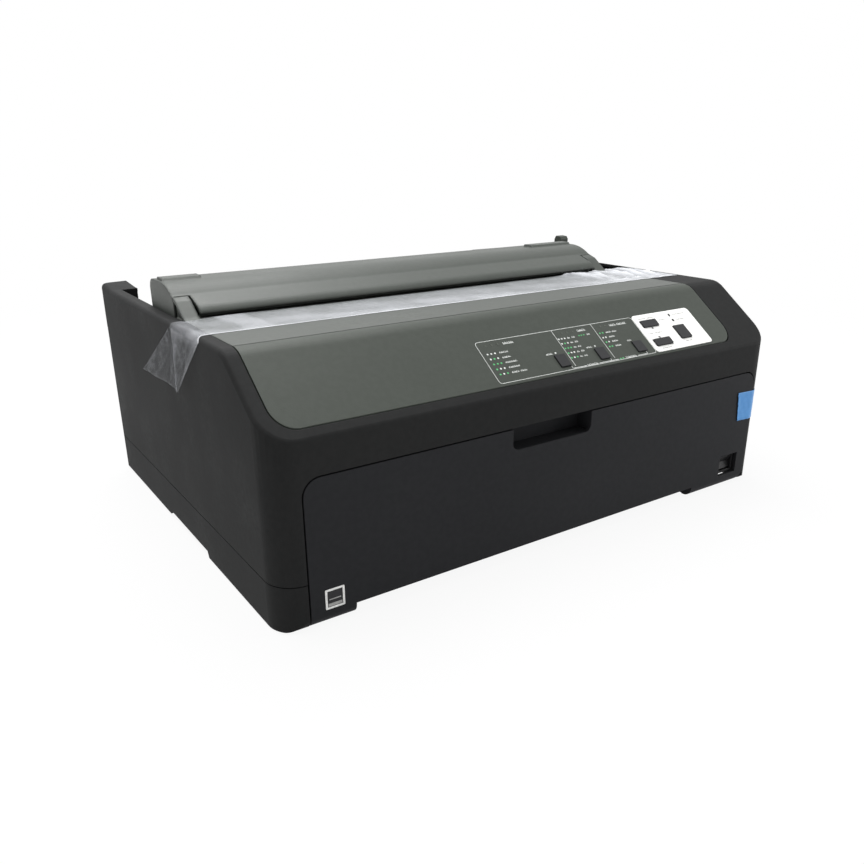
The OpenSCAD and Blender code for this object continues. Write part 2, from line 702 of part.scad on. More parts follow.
module printer_cover() {
  y0 = bend_top_y + lid_gap;
  y1 = hood_y0 + 14;
  color([0.2, 0.205, 0.2]) {
    block(cover_x, [y0, y1], [frame_z - cover_t, frame_z]);
    // stiffening lip under the lid
    block([cover_x[0] + 4, cover_x[1] - 4], [y0 + 3, y0 + 5], [frame_z - 7, frame_z - cover_t]);
    for (s = [0, 1]) {
      // end arm, a strip that climbs beside the hood
      x = s == 0 ? [cover_x[0], cover_x[0] + arm_w] : [cover_x[1] - arm_w, cover_x[1]];
      along_x(x) polygon([[hood_y0 - 4, frame_z], [hood_y0 - 1, frame_z + 1.5],
        [hood_y0 + 12, hood_z0 + 7.3], [slit_y - 0.6, hood_z0 + 9.4], [slit_y - 0.6, hood_z0 + 7],
        [hood_y0 + 12.6, hood_z0 + 4.9], [hood_y0 + 2, frame_z - 0.1], [hood_y0 - 4, frame_z - 1]]);
      // web under the hood, with its hinge pin
      along_x(web_x[s]) intersection() {
        polygon(concat([[hood_y0, cheek_z]], hood_line(hood_t + 0.1),
          [[hood_y3 - hood_t - 0.2, cheek_z - 0.3], [cover_axis_y + 6, cheek_z - 0.3],
          [cover_axis_y + 6, cover_axis_z - 5], [cover_axis_y - 8, cover_axis_z - 5],
          [hood_y0 + 20, frame_z - 7]]));
        translate([slit_y - 7, 0]) square([hood_y3, hood_z1 + 9]);
      }
      p = s == 0 ? [cover_x[0] - wall - 0.6, web_x[0][1]] : [web_x[1][0], cover_x[1] + wall + 0.6];
      rod_x(p, cover_axis_y, cover_axis_z, 3);
      b = s == 0 ? [cover_x[0], web_x[0][0]] : [web_x[1][1], cover_x[1]];
      rod_x(b, cover_axis_y, cover_axis_z, 4.6);
    }
  }
}

foot_r = 10;
module door_outline() {
  w = door_x1 - door_x0;
  difference() {
    union() {
      translate([door_x0, door_foot_z + foot_r])
        square([w, door_z1 - door_foot_z - door_r - foot_r]);
      translate([door_x0 + door_r, door_foot_z]) square([w - 2 * door_r, door_z1 - door_foot_z]);
      for (x = [door_x0 + door_r, door_x1 - door_r])
        translate([x, door_z1 - door_r]) circle(r = door_r, $fn = 48);
      translate([door_x0, door_foot_z]) square(foot_r + 1);
      translate([door_x1 - foot_r, door_foot_z + foot_r]) circle(r = foot_r, $fn = 48);
    }
    // raised edge between the feet
    translate([door_x0 + door_foot_l, 0]) square([w - door_foot_l - door_foot_r, door_z0]);
    // window for the power switch
    translate([switch_x0, switch_z0]) square([switch_w, switch_h]);
    // finger recess
    translate([recess_x - recess_w / 2, door_z1 - recess_h + 5]) square([recess_w, recess_h]);
    translate([recess_x - recess_w / 2 + 5, door_z1 - recess_h]) square([recess_w - 10, recess_h]);
    for (s = [-1, 1])
      translate([recess_x + s * (recess_w / 2 - 5), door_z1 - recess_h + 5]) circle(r = 5, $fn = 32);
  }
}

rib_t = 2.2;
module front_cover() {
  rx = [recess_x - recess_w / 2 - 2, recess_x + recess_w / 2 + 2];
  rz = door_z1 - recess_h;
  color([0.13, 0.135, 0.14]) difference() {
    union() {
      // skin with its lower edge turned in
      intersection() {
        along_y([0, lower_r + 2]) door_outline();
        along_x([door_x0, door_x1]) polygon(concat([[0, door_z1]], lower_arc(lower_r, door_foot_z),
          [[lower_r + 2, door_foot_z], [lower_r + 2, door_foot_z + door_t]],
          reversed(lower_arc(lower_r, door_foot_z, door_t)), [[door_t, door_z1]]));
      }
      // side skirts
      for (x = [door_x0, door_x1 - rib_t])
        block([x, x + rib_t], [door_t - 1, 10], [door_foot_z + foot_r, door_z1 - door_r]);
      // closed inner ends of the two feet, with round undersides
      for (x = [door_x0, door_x0 + door_foot_l - rib_t, door_x1 - door_foot_r])
        along_x([x, x + rib_t]) polygon(concat([[0.5, 18], [0.5, door_foot_z + lower_r]],
          lower_arc(lower_r, door_foot_z, 0.5), [[10, door_foot_z + 0.5], [13, door_foot_z + 1.6],
          [15.2, door_foot_z + 4], [16, door_foot_z + 8], [16, 14], [10, 18]]));
      // pocket behind the finger recess
      difference() {
        block(rx, [door_t, recess_d + 2], [rz - 2, door_z1 - 0.6]);
        block([rx[0] + 2, rx[1] - 2], [0, recess_d], [rz, door_z1 + 1]);
      }
      // hinge knuckles
      for (x = hinge_xs) {
        block([x - 4.4, x + 4.4], [door_t, door_axis_y], [door_axis_z - 4, door_axis_z + 4]);
        rod_x([x - 4.4, x + 4.4], door_axis_y, door_axis_z, 4);
      }
    }
    for (x = hinge_xs) rod_x([x - 5, x + 5], door_axis_y, door_axis_z, 2.5 + run_gap);
  }
}

switch_cx = switch_x0 + switch_w / 2;
switch_cz = switch_z0 + switch_h / 2 + 0.3;
module power_rocker() {
  color([0.06, 0.06, 0.06]) along_x([switch_cx - 8.3, switch_cx + 8.3]) difference() {
    polygon([[5.6, switch_cz - 6], [4.8, switch_cz - 5.6], [6.2, switch_cz], [3.4, switch_cz + 5.6],
      [4.2, switch_cz + 6.2], [10, switch_cz + 3.6], [12.4, switch_cz], [10, switch_cz - 3.6]]);
    translate([rocker_y, switch_cz]) circle(r = 1.2 + run_gap, $fn = 32);
  }
}
rocker_y = 9.6;

module switch_body() {
  x = [switch_x0 + 0.3, switch_x0 + switch_w - 0.3];
  z = [switch_z0 + 0.4, switch_z0 + switch_h - 0.3];
  inner = [x[0] + 2, x[1] - 2];
  color([0.08, 0.08, 0.08]) {
    difference() {
      union() {
        block(x, [door_t + 0.4, 14], z);
        block(x, [14, 24], [z[0] + 2.5, z[1]]);
      }
      block(inner, [0, 14], [z[0] + 2, z[1] - 0.5]);
      block(inner, [13, 22], [z[0] + 4, z[1] - 0.5]);
    }
    rod_x([x[0] + 1, x[1] - 1], rocker_y, switch_cz, 1.2);
    // bracket on the tray wall
    block([x[0] + 3, x[1] - 3], [24, notch_y], [z[1] - 8, z[1]]);
  }
}

// ---------------------------------------------------------------- frame

module base_pan() {
  color(steel) block([plate_x0 + plate_t, plate_x1], [plate_y0, plate_y1], [pan_z, pan_z + 1.6]);
}
pan_z = floor_z + wall;
plate_y0 = platen_y - 124;
plate_y1 = platen_y + 114;

module side_plate(x) {
  color(steel) difference() {
    along_x([x, x + plate_t]) polygon([[plate_y0, pan_z], [plate_y1, pan_z], [plate_y1, 60],
      [platen_y + 86, 118], [platen_y + 38, 132], [platen_y + 20, 146], [platen_y - 20, 146],
      [platen_y - 36, 124], [rail_y - 36, 118], [plate_y0 + 10, 92], [plate_y0, 60]]);
    rod_x([x - 1, x + 4], platen_y, platen_z, bush_r + run_gap);
    rod_x([x - 1, x + 4], rail_y, rail_z, rail_r + run_gap);
    rod_x([x - 1, x + 4], tract_y, tract_z, shaft_hole_r);
    rod_x([x - 1, x + 4], rod_yy, rod_zz, 4 + run_gap);
    along_x([x - 1, x + 4]) {
      translate([platen_y - 86, 42]) square([50, 24]);
      translate([platen_y - 10, 36]) square([20, 40]);
      translate([platen_y + 76, 40]) circle(r = 14, $fn = 32);
    }
  }
}
bush_r = 8;
shaft_hole_r = 6;
rod_yy = tract_y + 26.5;
rod_zz = tract_z - 14.2;

module left_side_plate() { side_plate(plate_x0); }
module right_side_plate() {
  color(steel) difference() {
    side_plate(plate_x1);
    rod_x([plate_x1 - 1, plate_x1 + 4], pinion_y, pinion_z, 8.6);
  }
  color(steel) rod_x([plate_x1 + plate_t, gear_x1 + gear_w + 1.4], red_y, red_z, 3);
}

module front_rail() {
  color(steel) along_x([plate_x0 + plate_t, plate_x1])
    translate([belt_y - 32, 0]) polygon([[0, 66], [10, 66], [10, 67.6], [1.6, 67.6], [1.6, 82.4],
      [12, 82.4], [12, 84], [0, 84]]);
}

// ---------------------------------------------------------------- feed

module platen_shaft() {
  color(steel) rod_x([plate_x0 - 6, half_w - 4], platen_y, platen_z, shaft_r);
}

module platen_roller() {
  color([0.08, 0.08, 0.085]) difference() {
    rod_x([plate_x0 + plate_t + 5, plate_x1 - 5], platen_y, platen_z, platen_r);
    rod_x([plate_x0, plate_x1], platen_y, platen_z, shaft_r);
  }
}

module platen_bushes() {
  color([0.85, 0.83, 0.78]) for (s = [0, 1]) {
    x = s == 0 ? plate_x0 : plate_x1;
    f = s == 0 ? [x - 1.6, x] : [x + plate_t, x + plate_t + 1.6];
    difference() {
      union() {
        rod_x([x, x + plate_t], platen_y, platen_z, bush_r);
        rod_x(f, platen_y, platen_z, bush_r + 1.5);
      }
      rod_x([x - 3, x + 6], platen_y, platen_z, shaft_r + run_gap);
    }
  }
}

knob_r = 18;
knob_l = 20;
module platen_knob() {
  color([0.16, 0.165, 0.17]) difference() {
    translate([half_w - 0.6 - knob_l, fy(platen_y), platen_z]) rotate([0, 90, 0])
      rotate_extrude($fn = 72) polygon([[0, 0], [knob_r - 2, 0], [knob_r - 1, 3], [knob_r, knob_l - 6],
        [knob_r, knob_l - 1.5], [knob_r - 1.5, knob_l], [0, knob_l]]);
    rod_x([half_w - knob_l - 2, half_w - 4], platen_y, platen_z, shaft_r);
    for (i = [0 : 23]) translate([half_w - 12, fy(platen_y), platen_z]) rotate([i * 15, 0, 0])
      translate([0, knob_r + 0.5, 0]) rotate([0, 90, 0]) cylinder(r = 1.2, h = 13, $fn = 16);
  }
}

module platen_gear() {
  color([0.86, 0.84, 0.78])
    gear_x([gear_x1, gear_x1 + gear_w], platen_y, platen_z, platen_teeth, 0, 8, shaft_r);
}

module reduction_gear() {
  color([0.9, 0.88, 0.82]) difference() {
    union() {
      gear_x([gear_x0, gear_x0 + gear_w], red_y, red_z, large_teeth, 0, 11, 0);
      gear_x([gear_x0 + gear_w - 1, gear_x1 + gear_w], red_y, red_z, small_teeth, red_phase, 0, 0);
    }
    rod_x([gear_x0 - 1, gear_x1 + gear_w + 1], red_y, red_z, 3 + run_gap);
  }
}

module feed_pinion() {
  color([0.8, 0.7, 0.35])
    gear_x([gear_x0, gear_x0 + gear_w], pinion_y, pinion_z, pinion_teeth, pinion_phase, 0, 2);
  color(steel) rod_x([plate_x1 - 2, gear_x0 + gear_w + 1], pinion_y, pinion_z, 2);
}

module feed_motor() {
  x = plate_x1;
  color([0.25, 0.25, 0.26]) difference() {
    union() {
      rod_x([x - 30, x], pinion_y, pinion_z, 17);
      block([x - 1.6, x], [pinion_y - 24, pinion_y + 24], [pinion_z - 9, pinion_z + 9]);
      rod_x([x, x + plate_t], pinion_y, pinion_z, 8.5);
    }
    rod_x([x - 3, x + 4], pinion_y, pinion_z, 2 + run_gap);
  }
}

module tractor_shaft() {
  w = 6;
  color(steel) {
    difference() {
      block([plate_x0 + plate_t + 3, plate_x1 - 3], [tract_y - w / 2, tract_y + w / 2],
        [tract_z - w / 2, tract_z + w / 2]);
    }
    for (x = [[plate_x0 - 3, plate_x0 + plate_t + 3], [plate_x1 - 3, gear_x1 + gear_w + 2]])
      rod_x(x, tract_y, tract_z, 3);
    for (x = [plate_x0, plate_x1]) rod_x([x, x + plate_t], tract_y, tract_z, shaft_hole_r - run_gap);
  }
  color([0.86, 0.84, 0.78]) gear_x([gear_x1, gear_x1 + gear_w], tract_y, tract_z, platen_teeth,
    tract_phase, 8, 3);
}

module tractor_rod() {
  color(steel) rod_x([plate_x0 - 4, plate_x1 + plate_t + 1.6], rod_yy, rod_zz, 4);
}

wheel_r = 15.4;
wheel_w = 8;

// Frame of one tractor centred on x: two cheeks and a bridge, round both shafts
module tractor(x) {
  color([0.2, 0.2, 0.21]) difference() {
    along_x([x - tractor_w / 2, x + tractor_w / 2]) tractor_side();
    // wheel pocket
    block([x - wheel_w / 2 - 0.5, x + wheel_w / 2 + 0.5],
      [tract_y - 20, tract_y + wheel_r + 3], [tract_z - wheel_r - 4, tract_z + 40]);
    rod_x([x - tractor_w, x + tractor_w], tract_y, tract_z, 5);
    rod_x([x - tractor_w, x + tractor_w], rod_yy, rod_zz, 4 + run_gap);
    rod_x([x - tractor_w, x + tractor_w], flap_y, flap_z, 1.5 + run_gap);
  }
}
module tractor_side() {
  polygon([[tract_y - 18, tract_z - 10], [tract_y - 8, tract_z - 16], [rod_yy, rod_zz - 7],
    [rod_yy + 7, rod_zz - 3], [flap_y + 5, flap_z + 1], [flap_y + 1, flap_z + 4],
    [tract_y + 19, tract_z + 15.2], [tract_y - 18, tract_z + 15.2]]);
}
flap_y = tract_y + 25.5;
flap_z = tract_z + 11;

module left_tractor() { tractor(tractor_l); }
module right_tractor() { tractor(tractor_r); }

module pin_wheel(x) {
  color([0.85, 0.85, 0.82]) {
    difference() {
      rod_x([x - wheel_w / 2, x + wheel_w / 2], tract_y, tract_z, wheel_r);
      block([x - wheel_w, x + wheel_w], [tract_y - 3.05, tract_y + 3.05],
        [tract_z - 3.05, tract_z + 3.05]);
    }
    for (i = [0 : pin_count - 1]) translate([x, fy(tract_y), tract_z])
      rotate([i * 360 / pin_count, 0, 0]) translate([0, 0, wheel_r - 0.4])
        cylinder(r1 = 1.8, r2 = 1, h = 2.4, $fn = 24);
  }
}
module left_pin_wheel() { pin_wheel(tractor_l); }
module right_pin_wheel() { pin_wheel(tractor_r); }

// Hinged flap that holds the paper on the pins
module flap(x) {
  color([0.16, 0.16, 0.17]) {
    difference() {
      along_x([x - tractor_w / 2 - 2.4, x + tractor_w / 2 + 2.4])
        polygon([[tract_y - 18, tract_z + 15.5], [tract_y + 17, tract_z + 15.5],
          [tract_y + 17, tract_z + 17.6], [tract_y - 16, tract_z + 17.6]]);
      block([x - wheel_w / 2 - 1, x + wheel_w / 2 + 1], [tract_y - 12, tract_y + 12],
        [tract_z, tract_z + 20]);
    }
    for (s = [-1, 1]) {
      e = x + s * (tractor_w / 2 + 1.4);
      along_x([e - 1, e + 1]) polygon([[tract_y + 4, tract_z + 15.5], [tract_y + 4, tract_z + 17.6],
        [tract_y + 17, tract_z + 17.6], [flap_y + 3, flap_z + 1.5], [flap_y + 3, flap_z - 3],
        [flap_y - 3, flap_z - 3]]);
      rod_x([min(e, x + s * (tractor_w / 2 - 3)), max(e, x + s * (tractor_w / 2 - 3))],
        flap_y, flap_z, 1.5);
    }
  }
}
module left_flap() { flap(tractor_l); }
module right_flap() { flap(tractor_r); }

module paper_pan() {
  ro = platen_r + 3.2;
  color([0.15, 0.15, 0.155]) difference() {
    along_x([plate_x0 + plate_t + 0.1, plate_x1 - 0.1]) difference() {
      translate([platen_y, platen_z]) circle(r = ro, $fn = 72);
      translate([platen_y, platen_z]) circle(r = ro - 1.6, $fn = 72);
      translate([platen_y - 40, platen_z - 4]) square([80, 40]);
      translate([platen_y - 40, platen_z - 12]) square([26, 40]);
    }
  }
}

// ---------------------------------------------------------------- carriage

module carriage_shaft() {
  color([0.75, 0.76, 0.78])
    rod_x([plate_x0 - 4, plate_x1 + plate_t + 2], rail_y, rail_z, rail_r);
  color([0.75, 0.76, 0.78]) rod_x([plate_x0 - 7.6, plate_x0 - 4], rail_y, rail_z, 3);
}

module carriage() {
  x = [carriage_x - carriage_w / 2, carriage_x + carriage_w / 2];
  color([0.18, 0.18, 0.19]) difference() {
    union() {
      along_x(x) translate([rail_y, 0]) polygon([[-18, 86], [12, 86], [14, 92], [14, 104], [-4, 108],
        [-20, 104], [-36, 96], [-55, 90], [-55, 84.2], [-42, 84.2], [-24, 90]]);
      // clamp for the belt
      block([carriage_x - 8, carriage_x + 8], [rail_y - 19.4, rail_y - 13.8], [belt_z - 3.4, 86.2]);
      // uprights for head and cartridge
      for (s = [-1, 1]) {
        e = carriage_x + s * (carriage_w / 2 - 2);
        block([e - 2, e + 2], [rail_y - 18, rail_y + 10], [100, 116]);
      }
    }
    rod_x([x[0] - 1, x[1] + 1], rail_y, rail_z, rail_r + run_gap);
    // gap in the clamp for the belt
    block([carriage_x - 9, carriage_x + 9], [belt_y + pulley_r - 0.9, belt_y + pulley_r + 0.9],
      [belt_z - 4, belt_z + 3.2]);
  }
}

nose_y = platen_y - platen_r - 2;
module print_head() {
  cx = carriage_x;
  color([0.3, 0.3, 0.32]) {
    block([cx - 16, cx + 16], [rail_y - 12, rail_y + 18], [108.2, 112]);
    block([cx - 12, cx + 12], [rail_y + 10, nose_y - 10], [112, 134]);
    along_x([cx - 7, cx + 7])
      polygon([[nose_y - 10, 114], [nose_y, 119], [nose_y, 133], [nose_y - 10, 134]]);
  }
  color([0.12, 0.12, 0.13]) for (i = [0 : 6])
    block([cx - 15, cx + 15], [rail_y - 14, rail_y + 10], [112 + i * 3.2, 112 + i * 3.2 + 1.8]);
  color([0.12, 0.12, 0.13]) block([cx - 10, cx + 10], [rail_y - 8, rail_y + 10], [112, 134]);
}

module ribbon_cartridge() {
  cx = carriage_x;
  color([0.11, 0.11, 0.12]) difference() {
    union() {
      translate([cx, fy(rail_y - 6), 137]) linear_extrude(12) round_rect(108, 44, 5);
      for (s = [-1, 1]) {
        along_x([cx + s * 34 - 3, cx + s * 34 + 3])
          polygon([[rail_y + 8, 137], [rail_y + 16, 137], [nose_y - 3, 122], [nose_y, 122],
            [nose_y, 130], [nose_y - 18, 149], [rail_y + 8, 149]]);
        // clips onto the carriage
        block([cx + s * 29 - 2, cx + s * 29 + 2], [rail_y - 16, rail_y + 8], [116, 137]);
      }
    }
    translate([cx + 36, fy(rail_y - 12), 140]) cylinder(r = 3 + run_gap, h = 20, $fn = 32);
  }
  color([0.05, 0.05, 0.05]) block([cx - 31, cx + 31], [nose_y + 0.3, nose_y + 0.7], [119, 131]);
  color([0.05, 0.05, 0.05]) for (s = [-1, 1])
    block([cx + s * 34 - 3, cx + s * 34 + 3], [nose_y, nose_y + 0.7], [122, 130]);
}

module ribbon_knob() {
  color([0.7, 0.7, 0.68]) {
    translate([carriage_x + 36, fy(rail_y - 12), 149.4]) cylinder(r = 8, h = 4, $fn = 48);
    translate([carriage_x + 36, fy(rail_y - 12), 140.2]) cylinder(r = 3, h = 9.4, $fn = 32);
    translate([carriage_x + 36, fy(rail_y - 12), 153.2]) for (i = [0 : 2]) rotate(i * 60)
      translate([-7, -0.8, 0]) cube([14, 1.6, 1.2]);
  }
}

belt_y = rail_y - 26;
belt_z = 76;
pulley_r = 9;
drive_x = plate_x0 + 26;
idler_x = plate_x1 - 22;

module timing_belt() {
  r = pulley_r;
  color([0.07, 0.07, 0.07]) translate([0, fy(belt_y), belt_z - 3]) linear_extrude(6)
    difference() {
      union() {
        for (x = [drive_x, idler_x]) translate([x, 0]) circle(r = r + 0.6, $fn = 64);
        translate([drive_x, -r - 0.6]) square([idler_x - drive_x, 2 * r + 1.2]);
      }
      for (x = [drive_x, idler_x]) translate([x, 0]) circle(r = r - 0.6, $fn = 64);
      translate([drive_x, -r + 0.6]) square([idler_x - drive_x, 2 * r - 1.2]);
    }
}

module pulley(x, bore) {
  difference() {
    union() {
      rod_z(x, belt_y, [belt_z - 3.6, belt_z + 3.6], pulley_r - 0.9);
      for (z = [belt_z - 4.8, belt_z + 3.6]) rod_z(x, belt_y, [z, z + 1.2], pulley_r + 1.4);
      for (i = [0 : 19]) translate([x, fy(belt_y), belt_z - 3.6]) rotate(i * 18)
        translate([pulley_r - 1.4, -0.4, 0]) cube([0.7, 0.8, 7.2]);
    }
    rod_z(x, belt_y, [belt_z - 8, belt_z + 8], bore);
  }
}

module drive_pulley() {
  color([0.8, 0.72, 0.4]) pulley(drive_x, 2);
  color(steel) rod_z(drive_x, belt_y, [66, belt_z + 6], 2);
}

module idler_pulley() { color([0.8, 0.78, 0.7]) pulley(idler_x, 3 + run_gap); }

module carriage_motor() {
  z1 = 68;
  color([0.25, 0.25, 0.26]) difference() {
    union() {
      rod_z(drive_x, belt_y, [z1 - 34, z1], 19);
      block([plate_x0 + plate_t, drive_x + 22], [belt_y - 22, belt_y + 22], [z1, z1 + 1.6]);
    }
    rod_z(drive_x, belt_y, [64, z1 + 4], 2 + run_gap);
  }
  // bracket and pin of the idler
  color(steel) {
    block([idler_x - 10, plate_x1], [belt_y - 10, belt_y + 10], [z1, z1 + 1.6]);
    rod_z(idler_x, belt_y, [z1 + 1.6, belt_z + 7], 3);
  }
}

module thickness_lever() {
  x = plate_x0 - 4 - 2.4;
  color([0.55, 0.57, 0.6]) difference() {
    along_x([x, x + 2.2]) union() {
      translate([rail_y, rail_z]) circle(r = 10, $fn = 48);
      polygon([[rail_y - 8, rail_z + 4], [rail_y + 6, rail_z + 8], [rail_y - 18, rail_z + 56],
        [rail_y - 26, rail_z + 56]]);
    }
    rod_x([x - 1, x + 4], rail_y, rail_z, 3 + run_gap);
  }
}

lever_x = half_w - 11.2;
lever_y = platen_y + 57;
lever_z = 112;
module release_lever() {
  color([0.15, 0.155, 0.16]) difference() {
    union() {
      rod_x([lever_x - 4, lever_x + 4], lever_y, lever_z, 8);
      along_x([lever_x - 3, lever_x + 3]) polygon([[lever_y - 5, lever_z], [lever_y + 5, lever_z],
        [lever_y + 3.4, frame_z + 6], [lever_y - 3.4, frame_z + 6]]);
      along_x([lever_x - 4.5, lever_x + 4.5]) polygon([[lever_y - 5, frame_z + 6],
        [lever_y + 4, frame_z + 6], [lever_y + 4, frame_z + 19], [lever_y + 2, frame_z + 22.4],
        [lever_y - 4, frame_z + 22], [lever_y - 6, frame_z + 19.5]]);
    }
    rod_x([lever_x - 6, lever_x + 6], lever_y, lever_z, 3 + run_gap);
  }
}

module lever_bracket() {
  color(steel) {
    for (s = [-1, 1]) {
      e = lever_x + s * 5.6;
      difference() {
        along_x([e - 0.8, e + 0.8]) polygon([[lever_y - 22, pan_z], [lever_y + 22, pan_z],
          [lever_y + 9, lever_z + 8], [lever_y - 9, lever_z + 8]]);
        rod_x([e - 2, e + 2], lever_y, lever_z, 3);
      }
    }
    rod_x([lever_x - 7.4, lever_x + 7.4], lever_y, lever_z, 3);
    block([lever_x - 4.8, lever_x + 4.8], [lever_y - 20, lever_y + 20], [pan_z, pan_z + 1.6]);
  }
}

// ---------------------------------------------------------------- electrics

board_x = plate_x0 + 10;
board_y = body_d - 94;
module main_board() {
  z = board_z;
  color([0.1, 0.35, 0.2]) {
    block([board_x, board_x + 270], [board_y, board_y + 88], [z - 1.6, z]);
    for (x = [10, 130, 260]) rod_z(board_x + x, board_y + 6, [pan_z + 1.6, z - 1.6], 3);
    for (x = [10, 130, 260]) rod_z(board_x + x, board_y + 80, [pan_z, z - 1.6], 3);
  }
  color([0.1, 0.1, 0.1]) {
    block([board_x + 80, board_x + 120], [board_y + 16, board_y + 44], [z, z + 3]);
    block([board_x + 140, board_x + 170], [board_y + 20, board_y + 34], [z, z + 2.4]);
    for (i = [0 : 5]) block([board_x + 200, board_x + 230],
      [board_y + 14 + i * 5, board_y + 16 + i * 5], [z, z + 16]);
  }
}

module power_supply() {
  z = floor_z + wall;
  color([0.7, 0.7, 0.68]) difference() {
    block([plate_x1 + 14, half_w - wall - 1], [platen_y - 134, platen_y - 36], [z, z + 46]);
    for (i = [0 : 9]) block([plate_x1 + 18, half_w - wall - 5], [platen_y - 128 + i * 9, platen_y - 124 + i * 9],
      [z + 44, z + 47]);
  }
}

module rear_ports() {
  y1 = body_d - wall;
  z = board_z;
  color([0.12, 0.12, 0.13]) {
    difference() {
      block([par_x + 0.2, par_x + 63.8], [y1 - 22, y1 + 1], [z, z + 13.8]);
      block([par_x + 12, par_x + 52], [y1 - 8, y1 + 2], [z + 3, z + 11]);
    }
    difference() {
      block([usb_x + 0.2, usb_x + 13.8], [y1 - 18, y1 + 1], [z, z + 11.8]);
      block([usb_x + 3, usb_x + 11], [y1 - 10, y1 + 2], [z + 2.5, z + 9.5]);
    }
  }
}

module mains_inlet() {
  y1 = body_d;
  color([0.06, 0.06, 0.06]) difference() {
    block([inlet_x + 0.2, inlet_x + 27.8], [y1 - 26, y1 - 0.6], [seam_z + 8.2, seam_z + 29.8]);
    block([inlet_x + 3, inlet_x + 25], [y1 - 18, y1], [seam_z + 11, seam_z + 27]);
  }
  color(steel) for (x = [7.5, 14, 20.5])
    block([inlet_x + x - 1, inlet_x + x + 1], [y1 - 18, y1 - 6], [seam_z + 17, seam_z + 21]);
}

module slot_cover() {
  y1 = body_d;
  color([0.18, 0.18, 0.19]) difference() {
    block([slot_x + 0.2, slot_x + 79.8], [y1 - wall - 1.4, y1 - 0.8], [seam_z + 8.2, seam_z + 37.8]);
    for (i = [0 : 6]) block([slot_x + 12 + i * 9, slot_x + 17 + i * 9], [y1 - 2.4, y1 + 1], [seam_z + 14, seam_z + 32]);
  }
}

// ---------------------------------------------------------------- sheet guide

guide_t = 3;
guide_a = atan(guide_lift / guide_reach);

// Places its children on the sheet guide: x, distance forward of its hinge, height
module on_guide() {
  translate([0, fy(guide_axis_y), guide_axis_z]) rotate([-guide_a, 0, 0]) children();
}
guide_l = guide_reach / cos(guide_a);

module sheet_guide() {
  color(charcoal) on_guide() {
    difference() {
      translate([guide_x0, -guide_l, 4]) cube([guide_x1 - guide_x0, guide_l + 4, guide_t]);
      for (i = [0 : 8]) translate([guide_x0 + 22 + i * 36, -guide_l + 8, 3])
        cube([20, guide_l - 22, guide_t + 2]);
    }
    for (x = [guide_x0, guide_x1 - 6]) translate([x, -7, -5]) cube([6, 11, 9]);
    // hinge pins into the rear posts
    for (x = [[top_x0 + post_w - 4.4, guide_x0 + 1], [guide_x1 - 1, top_x1 - post_w + 4.4]])
      translate([x[0], 0, 0]) rotate([0, 90, 0]) cylinder(r = 3, h = x[1] - x[0], $fn = 32);
  }
}

module edge_guide(x, w) {
  color(charcoal) on_guide() {
    translate([x, 0, 0]) rotate([90, 0, 90]) linear_extrude(w)
      polygon([[-guide_l - 2.4, 1.8], [-guide_l + 6, 1.8], [-guide_l + 6, 3.8], [-guide_l - 0.2, 3.8],
        [-guide_l - 0.2, 7.2], [-guide_l + 36, 7.2], [-guide_l + 36, 8.6], [-guide_l + 28, 10.6],
        [-guide_l + 6, 11.6], [-guide_l - 1.2, 10], [-guide_l - 2.4, 8]]);
  }
}
module left_edge_guide() { edge_guide(guide_x0 + 8, 50); }
module right_edge_guide() { edge_guide(guide_x1 - 51, 50); }

// ---------------------------------------------------------------- output

lower_case();
upper_case();
rubber_feet();
case_screws();
base_pan();
left_side_plate();
right_side_plate();
front_rail();
control_panel();
key_plate();
panel_board();
lamps();
key(0);  // key_a
key(1);  // key_b
key(2);  // key_c
key(3);  // key_d
key(4);  // key_e
key(5);  // key_f
printer_cover();
hood();
front_cover();
power_rocker();
switch_body();
platen_shaft();
platen_roller();
platen_bushes();
platen_knob();
platen_gear();
reduction_gear();
feed_pinion();
feed_motor();
tractor_shaft();
tractor_rod();
left_tractor();
right_tractor();
left_pin_wheel();
right_pin_wheel();
left_flap();
right_flap();
carriage_shaft();
carriage();
print_head();
ribbon_cartridge();
ribbon_knob();
carriage_motor();
drive_pulley();
idler_pulley();
timing_belt();
paper_pan();
thickness_lever();
release_lever();
lever_bracket();
main_board();
power_supply();
rear_ports();
mains_inlet();
slot_cover();
sheet_guide();
left_edge_guide();
right_edge_guide();
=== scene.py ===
"""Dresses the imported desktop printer: finishes, printed key panel, film, tape and a plain studio."""

import logging
import math
from collections.abc import Callable, Sequence
from dataclasses import dataclass, field
from enum import Enum

import bmesh
import bpy
import numpy as np
from mathutils import Matrix, Vector


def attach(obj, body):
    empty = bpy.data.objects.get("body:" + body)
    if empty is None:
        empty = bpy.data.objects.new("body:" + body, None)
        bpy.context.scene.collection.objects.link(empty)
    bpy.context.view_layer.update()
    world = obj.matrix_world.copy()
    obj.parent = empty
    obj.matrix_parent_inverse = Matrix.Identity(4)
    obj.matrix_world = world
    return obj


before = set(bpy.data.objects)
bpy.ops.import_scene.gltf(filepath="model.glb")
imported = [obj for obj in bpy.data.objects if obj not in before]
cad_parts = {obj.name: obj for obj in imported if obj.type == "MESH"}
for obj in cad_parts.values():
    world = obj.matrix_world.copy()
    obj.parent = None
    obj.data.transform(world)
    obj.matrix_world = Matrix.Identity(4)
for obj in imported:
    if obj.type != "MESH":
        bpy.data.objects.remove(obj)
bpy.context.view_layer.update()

LOG = logging.getLogger("printer")
MM = 0.001
BODY_DEPTH = 340.0
Array = np.ndarray
Pair = tuple[float, float]
Colour = tuple[float, float, float]
Material = bpy.types.Material
Node = bpy.types.Node
NodeTree = bpy.types.NodeTree
Piece = bpy.types.Object
Socket = bpy.types.NodeSocket
Value = Socket | float


# ---- places on the printer


